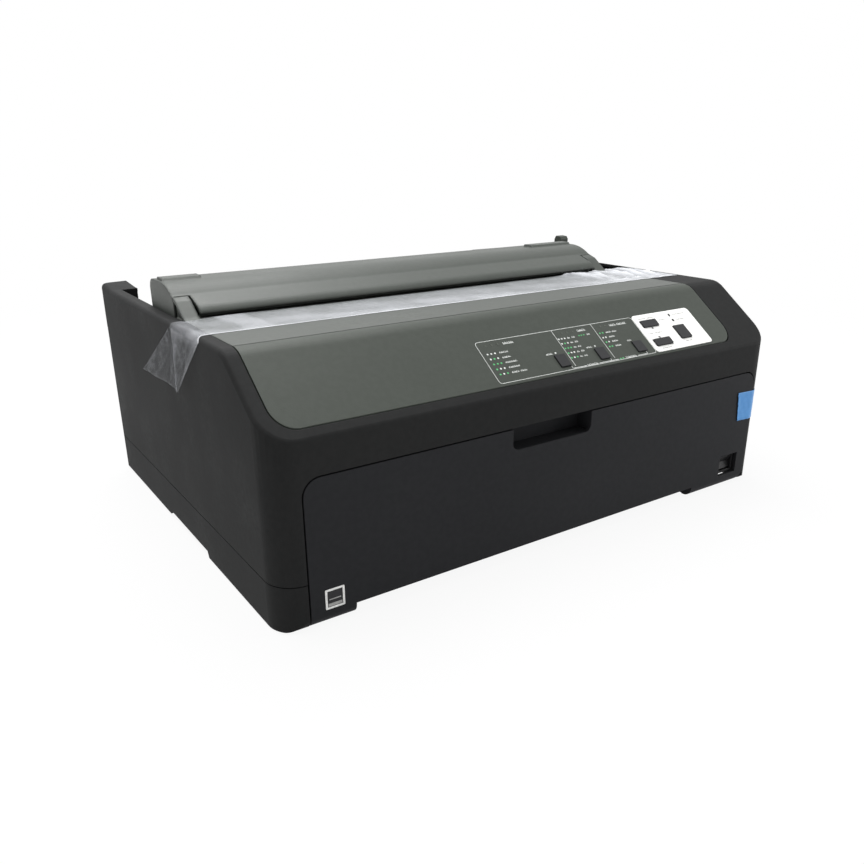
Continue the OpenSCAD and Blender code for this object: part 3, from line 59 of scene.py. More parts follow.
@dataclass(frozen=True)
class CaseForm:
    """Sizes of the case that the added pieces lie on, in millimetres; depths run from the front face."""

    half_width: float = 219.0
    top: float = 161.5
    crease: float = 120.3
    bend: float = 56.0
    panel_front: float = 6.0
    edge_radius: float = 3.6
    corner_radius: float = 19.0

    @property
    def slope(self) -> float:
        """Angle of the key panel against the desk, in radians."""
        return math.atan((self.top - self.crease) / self.bend)

    def on_slope(self, x: Array, up: Array, lift: Array | float) -> Array:
        """Places points on the key panel.

        Formula: start at the panel's front seam, go `up` along the slope, then `lift` along its normal.

        Args:
            x: Distance to the right, in millimetres.
            up: Distance up the slope from the panel's front seam.
            lift: Height above the surface.

        Returns:
            Points in metres, with the last axis x, y, z.
        """
        sin, cos = math.sin(self.slope), math.cos(self.slope)
        base = self.crease + self.panel_front * math.tan(self.slope)
        depth = self.panel_front + up * cos - lift * sin
        height = base + up * sin + lift * cos
        x, depth, height = np.broadcast_arrays(x, depth, height)
        return np.stack([x, depth - BODY_DEPTH / 2, height], axis=-1) * MM

    def on_front(self, x: Array, up: Array, lift: Array | float) -> Array:
        """Places points on the flat front face: x, height and distance out of the face, in millimetres."""
        x, up, depth = np.broadcast_arrays(x, up, -np.asarray(lift, dtype=float))
        return np.stack([x, depth - BODY_DEPTH / 2, up], axis=-1) * MM

    def over_top(self, along: Array, lift: Array | float) -> tuple[Array, Array]:
        """Cross-section of the flat top and its two rounded outer edges.

        Formula: `along` runs over the flat top as x does; past the flat part it goes on round a quarter
        circle of the edge radius and then straight down the side.

        Args:
            along: Distance over the surface from the middle, to the right positive.
            lift: Height above the surface.

        Returns:
            The x places and the heights, in millimetres.
        """
        flat = self.half_width - self.edge_radius
        past = np.maximum(np.abs(along) - flat, 0.0)
        turn = np.minimum(past / self.edge_radius, math.pi / 2)
        down = np.maximum(past - self.edge_radius * math.pi / 2, 0.0)
        x = np.minimum(np.abs(along), flat) + (self.edge_radius + lift) * np.sin(turn)
        height = self.top - self.edge_radius + (self.edge_radius + lift) * np.cos(turn) - down
        return np.sign(along) * x, height


CASE = CaseForm()


# ---- mesh tools


def unit(value: Array) -> Array:
    """Clamps to 0..1."""
    return np.clip(value, 0.0, 1.0)


def bell(distance: Array, width: float) -> Array:
    """1 at distance 0, falling off as the exponential of minus the square of distance over width."""
    return np.exp(-((distance / width) ** 2))


def mesh_from_arrays(name: str, points: Array, faces: Array, smooth: bool = False) -> Piece:
    """Makes a mesh object from whole arrays.

    Args:
        name: Name of the piece.
        points: Vertices, one row each, in metres.
        faces: Corner indices, one row per face.
        smooth: Shade the faces smooth.

    Returns:
        The new object, linked to the scene.
    """
    mesh = bpy.data.meshes.new(name)
    count, sides = faces.shape
    mesh.vertices.add(len(points))
    mesh.vertices.foreach_set("co", points.astype(np.float32).ravel())
    mesh.loops.add(count * sides)
    mesh.loops.foreach_set("vertex_index", faces.astype(np.int32).ravel())
    mesh.polygons.add(count)
    mesh.polygons.foreach_set("loop_start", np.arange(0, count * sides, sides, dtype=np.int32))
    mesh.polygons.foreach_set("use_smooth", np.full(count, smooth))
    mesh.update(calc_edges=True)
    mesh.validate()
    piece = bpy.data.objects.new(name, mesh)
    bpy.context.scene.collection.objects.link(piece)
    return piece


def grid_faces(rows: int, columns: int) -> Array:
    """Corner indices of the quads of a rows by columns grid of points."""
    corner = np.arange((rows - 1) * columns).reshape(rows - 1, columns)[:, :-1].ravel()
    return np.stack([corner, corner + 1, corner + columns + 1, corner + columns], axis=1)


def closed_sheet(name: str, surface: Array, thickness: float) -> Piece:
    """Makes a thin closed sheet from a grid of points.

    Formula: the lower side is the grid, the upper side is the grid moved along its own normals by the
    thickness, and a strip of quads joins the two along the rim.

    Args:
        name: Name of the piece.
        surface: Grid of points (rows, columns, 3), in metres.
        thickness: Thickness in metres.

    Returns:
        The new object.
    """
    rows, columns, _ = surface.shape
    along = np.gradient(surface, axis=0)
    across = np.gradient(surface, axis=1)
    normal = np.cross(along, across)
    normal /= np.maximum(np.linalg.norm(normal, axis=-1, keepdims=True), 1e-12)
    upper = surface + normal * thickness
    points = np.concatenate([surface.reshape(-1, 3), upper.reshape(-1, 3)])
    top = grid_faces(rows, columns) + rows * columns
    bottom = grid_faces(rows, columns)[:, ::-1]
    index = np.arange(rows * columns).reshape(rows, columns)
    rim = np.concatenate([index[0, :], index[1:, -1], index[-1, -2::-1], index[-2:0:-1, 0]])
    following = np.roll(rim, -1)
    shift = rows * columns
    side = np.stack([rim, following, following + shift, rim + shift], axis=1)
    faces = np.concatenate([top, bottom, side])[:, ::-1]
    return mesh_from_arrays(name, points, faces, smooth=True)


def face_outwards(piece: Piece) -> None:
    """Recalculates the normals of a closed piece so that they point outwards.

    Args:
        piece: The piece.
    """
    work = bmesh.new()
    work.from_mesh(piece.data)
    bmesh.ops.recalc_face_normals(work, faces=work.faces)
    work.to_mesh(piece.data)
    work.free()


def finish_piece(piece: Piece, body: str, material: Material) -> None:
    """Gives a new piece its material and its body.

    Args:
        piece: The piece.
        body: Body that it moves with.
        material: Its material.
    """
    piece.data.materials.clear()
    piece.data.materials.append(material)
    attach(piece, body)
    LOG.info("%s: %d faces on %s", piece.name, len(piece.data.polygons), body)


# ---- shader groups


class Tree:
    """Small helper round a node tree."""

    def __init__(self, tree: NodeTree) -> None:
        """Keeps the tree that the nodes go into."""
        self.tree = tree

    def fill(self, node: Node, values: dict) -> Node:
        """Links or sets the inputs of a node.

        Args:
            node: The node.
            values: Input name or index to value, or to a socket that is linked to it.

        Returns:
            The same node.
        """
        for key, value in values.items():
            if isinstance(value, Socket):
                self.tree.links.new(value, node.inputs[key])
            else:
                node.inputs[key].default_value = value
        return node

    def add(self, kind: str, values: dict | None = None, **settings: object) -> Node:
        """Adds a node.

        Args:
            kind: Blender's name of the node.
            values: Its inputs, as in `fill`.
            settings: Plain settings of the node.

        Returns:
            The node.
        """
        node = self.tree.nodes.new(kind)
        for key, value in settings.items():
            setattr(node, key, value)
        return self.fill(node, values or {})

    def shared(self, group: NodeTree, values: dict) -> bpy.types.NodeOutputs:
        """Places a shared group with its own values and returns its outputs."""
        return self.add("ShaderNodeGroup", values, node_tree=group).outputs

    def noise(self, place: Socket, scale: Value, detail: float, **values: float) -> Socket:
        """Adds a Noise texture and returns its value."""
        inputs = {"Vector": place, "Scale": scale, "Detail": detail, **values}
        return self.add("ShaderNodeTexNoise", inputs).outputs[0]

    def relief(self, height: Socket, strength: float, distance: float, edge: float = 0.0) -> Socket:
        """Turns a height into a normal.

        Args:
            height: Height over the surface.
            strength: Strength of the bump.
            distance: Depth of the bump in metres.
            edge: Radius in millimetres by which edges look rounded.

        Returns:
            The normal.
        """
        values = {"Strength": strength, "Distance": distance, "Height": height}
        if edge > 0.0:
            values["Normal"] = self.add("ShaderNodeBevel", {"Radius": edge * MM}, samples=4).outputs[0]
        return self.add("ShaderNodeBump", values).outputs[0]

    def maths(self, operation: str, *values: Value) -> Socket:
        """Adds a Math node and returns its output."""
        return self.add("ShaderNodeMath", dict(enumerate(values)), operation=operation).outputs[0]

    def times(self, first: Value, second: Value) -> Socket:
        """Multiplies two values."""
        return self.maths("MULTIPLY", first, second)

    def plus(self, first: Value, second: Value) -> Socket:
        """Adds two values."""
        return self.maths("ADD", first, second)

    def mix(self, factor: Socket, first: Colour, second: Colour) -> Socket:
        """Mixes two colours and returns the mixed one."""
        values = {0: factor, 6: (*first, 1.0), 7: (*second, 1.0)}
        return self.add("ShaderNodeMix", values, data_type="RGBA").outputs[2]

    def ramp(self, value: Socket, low: float, high: float) -> Socket:
        """Stretches a value from low..high to 0..1 and clamps it."""
        return self.add("ShaderNodeMapRange", {0: value, 1: low, 2: high, 3: 0.0, 4: 1.0}).outputs[0]


def new_group(name: str, inputs: dict[str, float], outputs: Sequence[str]) -> tuple[NodeTree, Tree]:
    """Makes an empty shader group with a Vector input, value inputs and value outputs.

    Args:
        name: Name of the group.
        inputs: Input names and their defaults.
        outputs: Names of the value outputs.

    Returns:
        The group and a helper for its nodes.
    """
    group = bpy.data.node_groups.new(name, "ShaderNodeTree")
    group.interface.new_socket("Vector", in_out="INPUT", socket_type="NodeSocketVector")
    for key, default in inputs.items():
        socket = group.interface.new_socket(key, in_out="INPUT", socket_type="NodeSocketFloat")
        socket.default_value = default
    for key in outputs:
        group.interface.new_socket(key, in_out="OUTPUT", socket_type="NodeSocketFloat")
    return group, Tree(group)


def grain_group() -> NodeTree:
    """Spark-eroded moulding grain: fine cells for the height and slow clouds for tone and gloss.

    Returns:
        The group.
    """
    group, tree = new_group("mould_grain", {"Grain": 900.0, "Cloud": 9.0}, ("Height", "Cloud", "Speck"))
    given = tree.add("NodeGroupInput").outputs
    place = given["Vector"]
    cells = tree.noise(place, given["Grain"], 2.0)
    pits = tree.add("ShaderNodeTexVoronoi", {"Vector": place, "Scale": given["Grain"]}).outputs[0]
    cloud = tree.noise(place, given["Cloud"], 3.0)
    speck = tree.noise(place, tree.times(given["Grain"], 0.22), 1.0)
    height = tree.plus(cells, tree.times(pits, 0.5))
    tree.add("NodeGroupOutput", {
        "Height": height,
        "Cloud": tree.ramp(cloud, 0.3, 0.7),
        "Speck": tree.ramp(speck, 0.35, 0.65),
    })
    return group


def streak_group() -> NodeTree:
    """Streaks along X from rolling, drawing or turning: noise stretched along X.

    Returns:
        The group.
    """
    group, tree = new_group("drawn_streaks", {"Fineness": 700.0, "Stretch": 0.02}, ("Height", "Streak"))
    given = tree.add("NodeGroupInput").outputs
    split = tree.add("ShaderNodeSeparateXYZ", {0: given["Vector"]})
    slow_x = tree.times(split.outputs[0], given["Stretch"])
    joined = tree.add("ShaderNodeCombineXYZ", {0: slow_x, 1: split.outputs[1], 2: split.outputs[2]})
    noise = tree.noise(joined.outputs[0], given["Fineness"], 3.0)
    tree.add("NodeGroupOutput", {"Height": noise, "Streak": tree.ramp(noise, 0.3, 0.7)})
    return group


def handling_group() -> NodeTree:
    """Faint marks of handling: patches where skin has polished or dulled the surface.

    Returns:
        The group.
    """
    group, tree = new_group("handling", {"Size": 22.0}, ("Mark",))
    given = tree.add("NodeGroupInput").outputs
    patch = tree.noise(given["Vector"], given["Size"], 4.0)
    fine = tree.noise(given["Vector"], tree.times(given["Size"], 14.0), 2.0)
    mark = tree.times(tree.ramp(patch, 0.45, 0.7), tree.ramp(fine, 0.3, 0.7))
    tree.add("NodeGroupOutput", {"Mark": mark})
    return group


@dataclass
class Groups:
    """The shared shader groups, each built once."""

    grain: NodeTree = field(default_factory=grain_group)
    streak: NodeTree = field(default_factory=streak_group)
    handling: NodeTree = field(default_factory=handling_group)


# ---- finishes


def fresh_tree(owner: Material | bpy.types.World) -> Tree:
    """Switches on the nodes of a material or a world and empties them.

    Args:
        owner: The material or world.

    Returns:
        A helper for its nodes.
    """
    owner.use_nodes = True
    owner.node_tree.nodes.clear()
    return Tree(owner.node_tree)


@dataclass(frozen=True)
class Moulded:
    """A moulded plastic or rubber surface."""

    name: str
    colour: Colour
    tone: Colour
    roughness: float = 0.5
    roughness_swing: float = 0.08
    grain: float = 1100.0
    relief: float = 0.25
    specular: float = 0.3
    edge: float = 0.5

    def look(self, tree: Tree, place: Socket, groups: Groups) -> dict:
        """Gives the shader's values: cloudy tone, fine grain in the bump, handling in the gloss.

        Args:
            tree: The material's nodes.
            place: Object coordinates.
            groups: The shared shader groups.

        Returns:
            Value or socket for each named input of the shader.
        """
        grain = tree.shared(groups.grain, {"Vector": place, "Grain": self.grain})
        marks = tree.shared(groups.handling, {"Vector": place})
        tone = tree.times(grain["Cloud"], 0.6)
        tone = tree.plus(tone, tree.times(grain["Speck"], 0.4))
        gloss = tree.times(marks["Mark"], -self.roughness_swing)
        gloss = tree.plus(gloss, tree.times(grain["Cloud"], self.roughness_swing))
        return {
            "Base Color": tree.mix(tone, self.colour, self.tone),
            "Roughness": tree.plus(gloss, self.roughness),
            "Normal": tree.relief(grain["Height"], self.relief, 0.00012, self.edge),
            "Specular IOR Level": self.specular,
        }


@dataclass(frozen=True)
class Metal:
    """A rolled, drawn or turned metal surface."""

    name: str
    colour: Colour
    tone: Colour
    roughness: float = 0.32
    fineness: float = 700.0
    relief: float = 0.15

    def look(self, tree: Tree, place: Socket, groups: Groups) -> dict:
        """Gives the shader's values: streaks in tone, gloss and bump.

        Args:
            tree: The material's nodes.
            place: Object coordinates.
            groups: The shared shader groups.

        Returns:
            Value or socket for each named input of the shader.
        """
        streak = tree.shared(groups.streak, {"Vector": place, "Fineness": self.fineness})
        marks = tree.shared(groups.handling, {"Vector": place})
        gloss = tree.times(streak["Streak"], 0.12)
        gloss = tree.plus(gloss, tree.times(marks["Mark"], 0.15))
        return {
            "Base Color": tree.mix(streak["Streak"], self.colour, self.tone),
            "Roughness": tree.plus(gloss, self.roughness),
            "Normal": tree.relief(streak["Height"], self.relief, 0.0001, 0.25),
            "Metallic": 1.0,
        }


@dataclass(frozen=True)
class Ink:
    """Screen-printed ink: even colour with a faint edge of grain."""

    name: str
    colour: Colour
    roughness: float = 0.45

    def look(self, tree: Tree, place: Socket, groups: Groups) -> dict:
        """Gives the shader's values: even colour, grain in the bump.

        Args:
            tree: The material's nodes.
            place: Object coordinates.
            groups: The shared shader groups.

        Returns:
            Value or socket for each named input of the shader.
        """
        grain = tree.shared(groups.grain, {"Vector": place, "Grain": 2200.0})
        worn = tuple(0.82 * value for value in self.colour)
        return {
            "Base Color": tree.mix(grain["Speck"], self.colour, worn),
            "Roughness": self.roughness,
            "Normal": tree.relief(grain["Height"], 0.1, 0.00005),
            "Specular IOR Level": 0.3,
        }


@dataclass(frozen=True)
class ClearFilm:
    """Thin clinging plastic film: mostly clear, milky where it lifts, with fine creases and painted
    highlights on edges and folds.
    """

    name: str
    colour: Colour = (0.62, 0.64, 0.68)
    pale: Colour = (0.8, 0.81, 0.84)
    clear: float = 0.03
    # Strength of the milkiness and the painted highlights that the attribute carries.
    milky: float = 0.62
    roughness: float = 0.42

    def look(self, tree: Tree, place: Socket, groups: Groups) -> dict:
        """Gives the shader's values; the piece's own attribute `lift` says how milky the film is and where
        its painted highlights lie.

        Args:
            tree: The material's nodes.
            place: Object coordinates.
            groups: The shared shader groups.

        Returns:
            Value or socket for each named input of the shader.
        """
        lift = tree.add("ShaderNodeAttribute", attribute_name="lift").outputs["Fac"]
        turned = {"Vector": place, "Rotation": (0.0, 0.0, 0.5), "Scale": (2.2, 1.0, 1.0)}
        stretched = tree.add("ShaderNodeMapping", turned).outputs[0]
        creases = tree.noise(stretched, 34.0, 5.0, Distortion=1.2)
        bands = tree.noise(stretched, 13.0, 1.0)
        fine = tree.shared(groups.grain, {"Vector": place, "Grain": 420.0})
        ridge = tree.maths("ABSOLUTE", tree.maths("SUBTRACT", creases, 0.5))
        crease = tree.maths("SUBTRACT", 1.0, tree.ramp(ridge, 0.0, 0.035))
        mottle = tree.plus(tree.times(tree.ramp(bands, 0.4, 0.6), 0.35), 0.8)
        # Milkiness with the painted highlights from the attribute, then the creases and specks.
        haze_and_highlight = tree.times(tree.times(lift, self.milky), mottle)
        haze_and_highlight = tree.plus(haze_and_highlight, tree.times(crease, 0.05))
        haze_and_highlight = tree.plus(haze_and_highlight, tree.times(fine["Speck"], 0.02))
        height = tree.plus(creases, tree.times(fine["Height"], 0.05))
        return {
            "Base Color": tree.mix(lift, self.colour, self.pale),
            "Roughness": self.roughness,
            "Normal": tree.relief(height, 0.3, 0.0007),
            "Specular IOR Level": 0.15,
            "Alpha": tree.maths("MINIMUM", tree.plus(haze_and_highlight, self.clear), 0.9),
        }


@dataclass(frozen=True)
class Lamp:
    """Clear light pipe of an unlit lamp."""

    name: str
    colour: Colour

    def look(self, tree: Tree, place: Socket, groups: Groups) -> dict:
        """Gives the shader's values: a little cloudy, glossy on top.

        Args:
            tree: The material's nodes.
            place: Object coordinates.
            groups: The shared shader groups.

        Returns:
            Value or socket for each named input of the shader.
        """
        grain = tree.shared(groups.grain, {"Vector": place, "Grain": 2600.0})
        deep = tuple(0.6 * value for value in self.colour)
        return {
            "Base Color": tree.mix(grain["Speck"], self.colour, deep),
            "Roughness": 0.12,
            "Coat Weight": 0.6,
        }


class Finish(Enum):
    """Every finish of the printer, by the part of it that it covers."""

    CASE = Moulded("case_moulding", (0.0164, 0.0168, 0.017), (0.0208, 0.0211, 0.0211), 0.56,
                   specular=0.05)
    DOOR = Moulded("front_cover_moulding", (0.016, 0.0165, 0.0182), (0.0205, 0.021, 0.023), 0.52,
                   specular=0.08)
    PANEL = Moulded("panel_moulding", (0.046, 0.052, 0.0445), (0.055, 0.062, 0.0535), 0.46,
                    specular=0.15)
    LID = Moulded("lid_moulding", (0.05, 0.056, 0.0495), (0.059, 0.0655, 0.0585), 0.42,
                  specular=0.25, edge=2.5)
    KEY = Moulded("key_moulding", (0.02, 0.0207, 0.022), (0.026, 0.0267, 0.028), 0.42,
                  relief=0.12, specular=0.2, edge=0.35)
    PALE = Moulded("pale_plate", (0.84, 0.84, 0.82), (0.88, 0.88, 0.86), 0.42, relief=0.06)
    BLACK = Moulded("black_fitting", (0.008, 0.008, 0.0085), (0.014, 0.014, 0.015), 0.34,
                    relief=0.1, edge=0.3)
    ACETAL = Moulded("natural_acetal", (0.66, 0.62, 0.52), (0.74, 0.7, 0.6), 0.36, relief=0.08, edge=0.2)
    RUBBER = Moulded("platen_rubber", (0.011, 0.011, 0.012), (0.02, 0.02, 0.021), 0.62,
                     relief=0.3, specular=0.2)
    BOARD = Moulded("solder_mask", (0.008, 0.075, 0.03), (0.012, 0.1, 0.045), 0.3, relief=0.2, edge=0.1)
    MOTOR = Moulded("motor_paint", (0.012, 0.012, 0.014), (0.02, 0.02, 0.022), 0.3, relief=0.08)
    STEEL = Metal("zinc_plated_steel", (0.5, 0.51, 0.54), (0.66, 0.67, 0.69))
    HEAD = Metal("head_casting", (0.2, 0.2, 0.21), (0.3, 0.3, 0.31), 0.45, 400.0, 0.4)
    BRASS = Metal("turned_brass", (0.68, 0.5, 0.2), (0.8, 0.63, 0.3), 0.28)
    LAMP = Lamp("light_pipe", (0.05, 0.062, 0.045))
    WHITE_INK = Ink("white_ink", (0.72, 0.74, 0.72))
    LABEL_PAPER = Ink("label_paper", (0.9, 0.9, 0.88))
    GREEN_INK = Ink("green_ink", (0.1, 0.46, 0.17))
    GREY_INK = Ink("grey_ink", (0.4, 0.4, 0.39))
    FILM = ClearFilm("packing_film")
    TAPE = Moulded("blue_tape", (0.056, 0.225, 0.53), (0.08, 0.28, 0.61), 0.44, relief=0.15, edge=0.1)
    LABEL_DARK = Ink("label_field", (0.012, 0.012, 0.014))


class Finishes:
    """Builds each finish the first time that it is asked for."""

    def __init__(self) -> None:
        """Builds the shared groups."""
        self.groups = Groups()
        self.built: dict[Finish, Material] = {}

    def make(self, finish: Finish) -> Material:
        """Makes a material with a Principled shader that reads Object coordinates.

        Args:
            finish: The finish, whose look fills the shader.

        Returns:
            The material.
        """
        material = bpy.data.materials.new(finish.value.name)
        tree = fresh_tree(material)
        shader = tree.add("ShaderNodeBsdfPrincipled")
        tree.add("ShaderNodeOutputMaterial", {"Surface": shader.outputs[0]})
        place = tree.add("ShaderNodeTexCoord").outputs["Object"]
        tree.fill(shader, finish.value.look(tree, place, self.groups))
        return material

    def get(self, finish: Finish) -> Material:
        """Finds the material of a finish, which is made when it is first asked for.

        Args:
            finish: The finish.

        Returns:
            The material.
        """
        if finish not in self.built:
            self.built[finish] = self.make(finish)
        return self.built[finish]


# ---- the CAD pieces


FINISH_OF: dict[Finish, tuple[str, ...]] = {
    Finish.CASE: (
        "lower_case", "upper_case", "platen_knob", "sheet_guide", "left_edge_guide", "right_edge_guide",
        "slot_cover", "paper_pan",
    ),
    Finish.DOOR: ("front_cover",),
    Finish.PANEL: ("control_panel", "release_lever"),
    Finish.LID: ("printer_cover", "hood"),
    Finish.KEY: (
        "key_a", "key_b", "key_c", "key_d", "key_e", "key_f", "carriage", "left_tractor",
        "right_tractor", "left_flap", "right_flap",
    ),
    Finish.PALE: ("key_plate",),
    Finish.BLACK: ("power_rocker", "switch_body", "rear_ports", "mains_inlet", "ribbon_cartridge"),
    Finish.ACETAL: (
        "platen_bushes", "platen_gear", "reduction_gear", "left_pin_wheel", "right_pin_wheel",
        "ribbon_knob", "idler_pulley",
    ),
    Finish.RUBBER: ("rubber_feet", "platen_roller", "timing_belt"),
    Finish.BOARD: ("panel_board", "main_board"),
    Finish.MOTOR: ("feed_motor", "carriage_motor"),
    Finish.STEEL: (
        "case_screws", "base_pan", "left_side_plate", "right_side_plate", "front_rail", "tractor_shaft",
        "tractor_rod", "platen_shaft", "carriage_shaft", "lever_bracket", "thickness_lever",
        "power_supply",
    ),
    Finish.HEAD: ("print_head",),
    Finish.BRASS: ("feed_pinion", "drive_pulley"),
    Finish.LAMP: ("lamps",),
}


@dataclass
class Mechanism:
    """Gives every carried-over piece of the construction its finish."""

    finishes: Finishes

    def dress(self) -> None:
        """Assigns the finishes and stops if a piece of the construction has none."""
        dressed: set[str] = set()
        for finish, names in FINISH_OF.items():
            for name in names:
                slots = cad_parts[name].data.materials
                slots.clear()
                slots.append(self.finishes.get(finish))
                dressed.add(name)
        missing = sorted(set(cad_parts) - dressed)
        if missing:
            raise ValueError(f"no finish for {missing}")
        LOG.info("%d construction pieces dressed", len(dressed))


# ---- print on the key panel


class Print:
    """Collects thin printed shapes on a flat surface and makes one closed mesh of them."""

    pinhole = 0.02
    tick_width = 0.34
    tick_step = 0.62
    tick_foot = 0.3
    word_gap = 1.0

    def __init__(self, thickness: float = 0.05, sink: float = 0.05, base: float = 0.0,
                 surface: Callable[[Array, Array, float], Array] = CASE.on_slope) -> None:
        """Starts empty.

        Args:
            thickness: Height of the ink over the surface, in millimetres.
            sink: How far the ink reaches into the surface.
            base: Height of the printed surface over the plane that `surface` knows.
            surface: Turns x, distance up and height into points in metres.
        """
        self.surface = surface
        self.low = base - sink
        self.high = base + thickness
        self.points: list[Array] = []
        self.faces: list[Array] = []
        self.count = 0

    def ring(self, outer: Array, inner: Array) -> None:
        """Adds a closed band between two outlines.

        Formula: four layers of points, outer low, outer high, inner high and inner low, with a strip of
        quads from each to the next.

        Args:
            outer: Outer outline, x and distance up for each point.
            inner: Inner outline with as many points.
        """
        size = len(outer)
        layers = [(outer, self.low), (outer, self.high), (inner, self.high), (inner, self.low)]
        block = np.concatenate([self.surface(flat[:, 0], flat[:, 1], lift) for flat, lift in layers])
        here = np.arange(size)
        after = np.roll(here, -1)
        quads = [np.stack([a * size + here, a * size + after, b * size + after, b * size + here], axis=1)
                 for a, b in ((0, 1), (1, 2), (2, 3), (3, 0))]
        self.points.append(block)
        self.faces.append(np.concatenate(quads) + self.count)
        self.count += len(block)

    def filled(self, outer: Array) -> None:
        """Adds a filled shape: a ring whose inner outline shrinks to a pinhole in the middle."""
        middle = outer.mean(axis=0)
        self.ring(outer, middle + (outer - middle) * self.pinhole)

    def disc(self, x: float, up: float, radius: float, stretch: float = 1.0, sides: int = 14) -> None:
        """Adds a dot, or an oval that is `stretch` times as high as wide."""
        turn = np.linspace(0.0, 2.0 * math.pi, sides, endpoint=False)
        self.filled(np.stack([x + radius * np.cos(turn), up + stretch * radius * np.sin(turn)], axis=1))

    def bar(self, x: Pair, up: Pair) -> None:
        """Adds a filled rectangle."""
        self.filled(np.array([[x[0], up[0]], [x[1], up[0]], [x[1], up[1]], [x[0], up[1]]]))

    def line(self, path: Sequence[Pair], width: float = 0.42) -> None:
        """Adds a line of even width, each stretch a bar along its own direction.

        Args:
            path: Places that it runs through.
            width: Its width in millimetres.
        """
        for start, end in zip(path, path[1:]):
            a, b = np.array(start), np.array(end)
            along = (b - a) / np.linalg.norm(b - a) * width / 2
            across = np.array([-along[1], along[0]])
            self.filled(np.array([a - along - across, b + along - across,
                                  b + along + across, a - along + across]))

    def frame(self, x: Pair, up: Pair, radius: float, width: float) -> None:
        """Adds the outline of a rectangle with rounded corners."""
        inner_x, inner_up = (x[0] + width, x[1] - width), (up[0] + width, up[1] - width)
        self.ring(rounded_rectangle(x, up, radius), rounded_rectangle(inner_x, inner_up, radius - width))

    def words(self, x: float, up: float, lengths: Sequence[float], height: float = 1.4) -> None:
        """Adds rows of small ticks where the real panel has words.

        Formula: a sine of the tick's number makes every few ticks shorter and leaves some out, so that a
        row has a word's rhythm and says nothing.

        Args:
            x: Left end of the first row.
            up: Middle of the rows, up the slope.
            lengths: Length of each row.
            height: Height of the tallest ticks.
        """
        low = up - height / 2
        for length in lengths:
            for number in range(max(1, int(length / self.tick_step))):
                wave = math.sin(2.4 * number + 1.7 * x)
                share = 1.0 if wave > 0.35 else 0.66
                start = x + number * self.tick_step
                if wave > -0.9:
                    self.bar((start, start + self.tick_width), (low, low + height * share))
                if wave < -0.2:
                    self.bar((start, start + self.tick_step), (low, low + self.tick_foot))
            x += length + self.word_gap

    def finish(self, name: str, material: Material, slot: str, body: str = "housing") -> None:
        """Makes the mesh and rides it on its body.

        Args:
            name: Name of the piece.
            material: Its material.
            slot: Not used.
            body: Body that it moves with.
        """
        piece = mesh_from_arrays(name, np.concatenate(self.points), np.concatenate(self.faces))
        face_outwards(piece)
        finish_piece(piece, body, material)


def rounded_rectangle(x: Pair, up: Pair, radius: float) -> Array:
    """Outline of a rectangle whose corners are quarter circles of a few points.

    Args:
        x: Left and right side.
        up: Lower and upper side.
        radius: Radius of the corners.

    Returns:
        The points in order.
    """
    quarter = np.linspace(0.0, math.pi / 2, 6)
    centres = ((x[1] - radius, up[1] - radius), (x[0] + radius, up[1] - radius),
               (x[0] + radius, up[0] + radius), (x[1] - radius, up[0] + radius))
    parts = [np.stack([cx + radius * np.cos(quarter + i * math.pi / 2),
                       cu + radius * np.sin(quarter + i * math.pi / 2)], axis=1)
             for i, (cx, cu) in enumerate(centres)]
    return np.concatenate(parts)


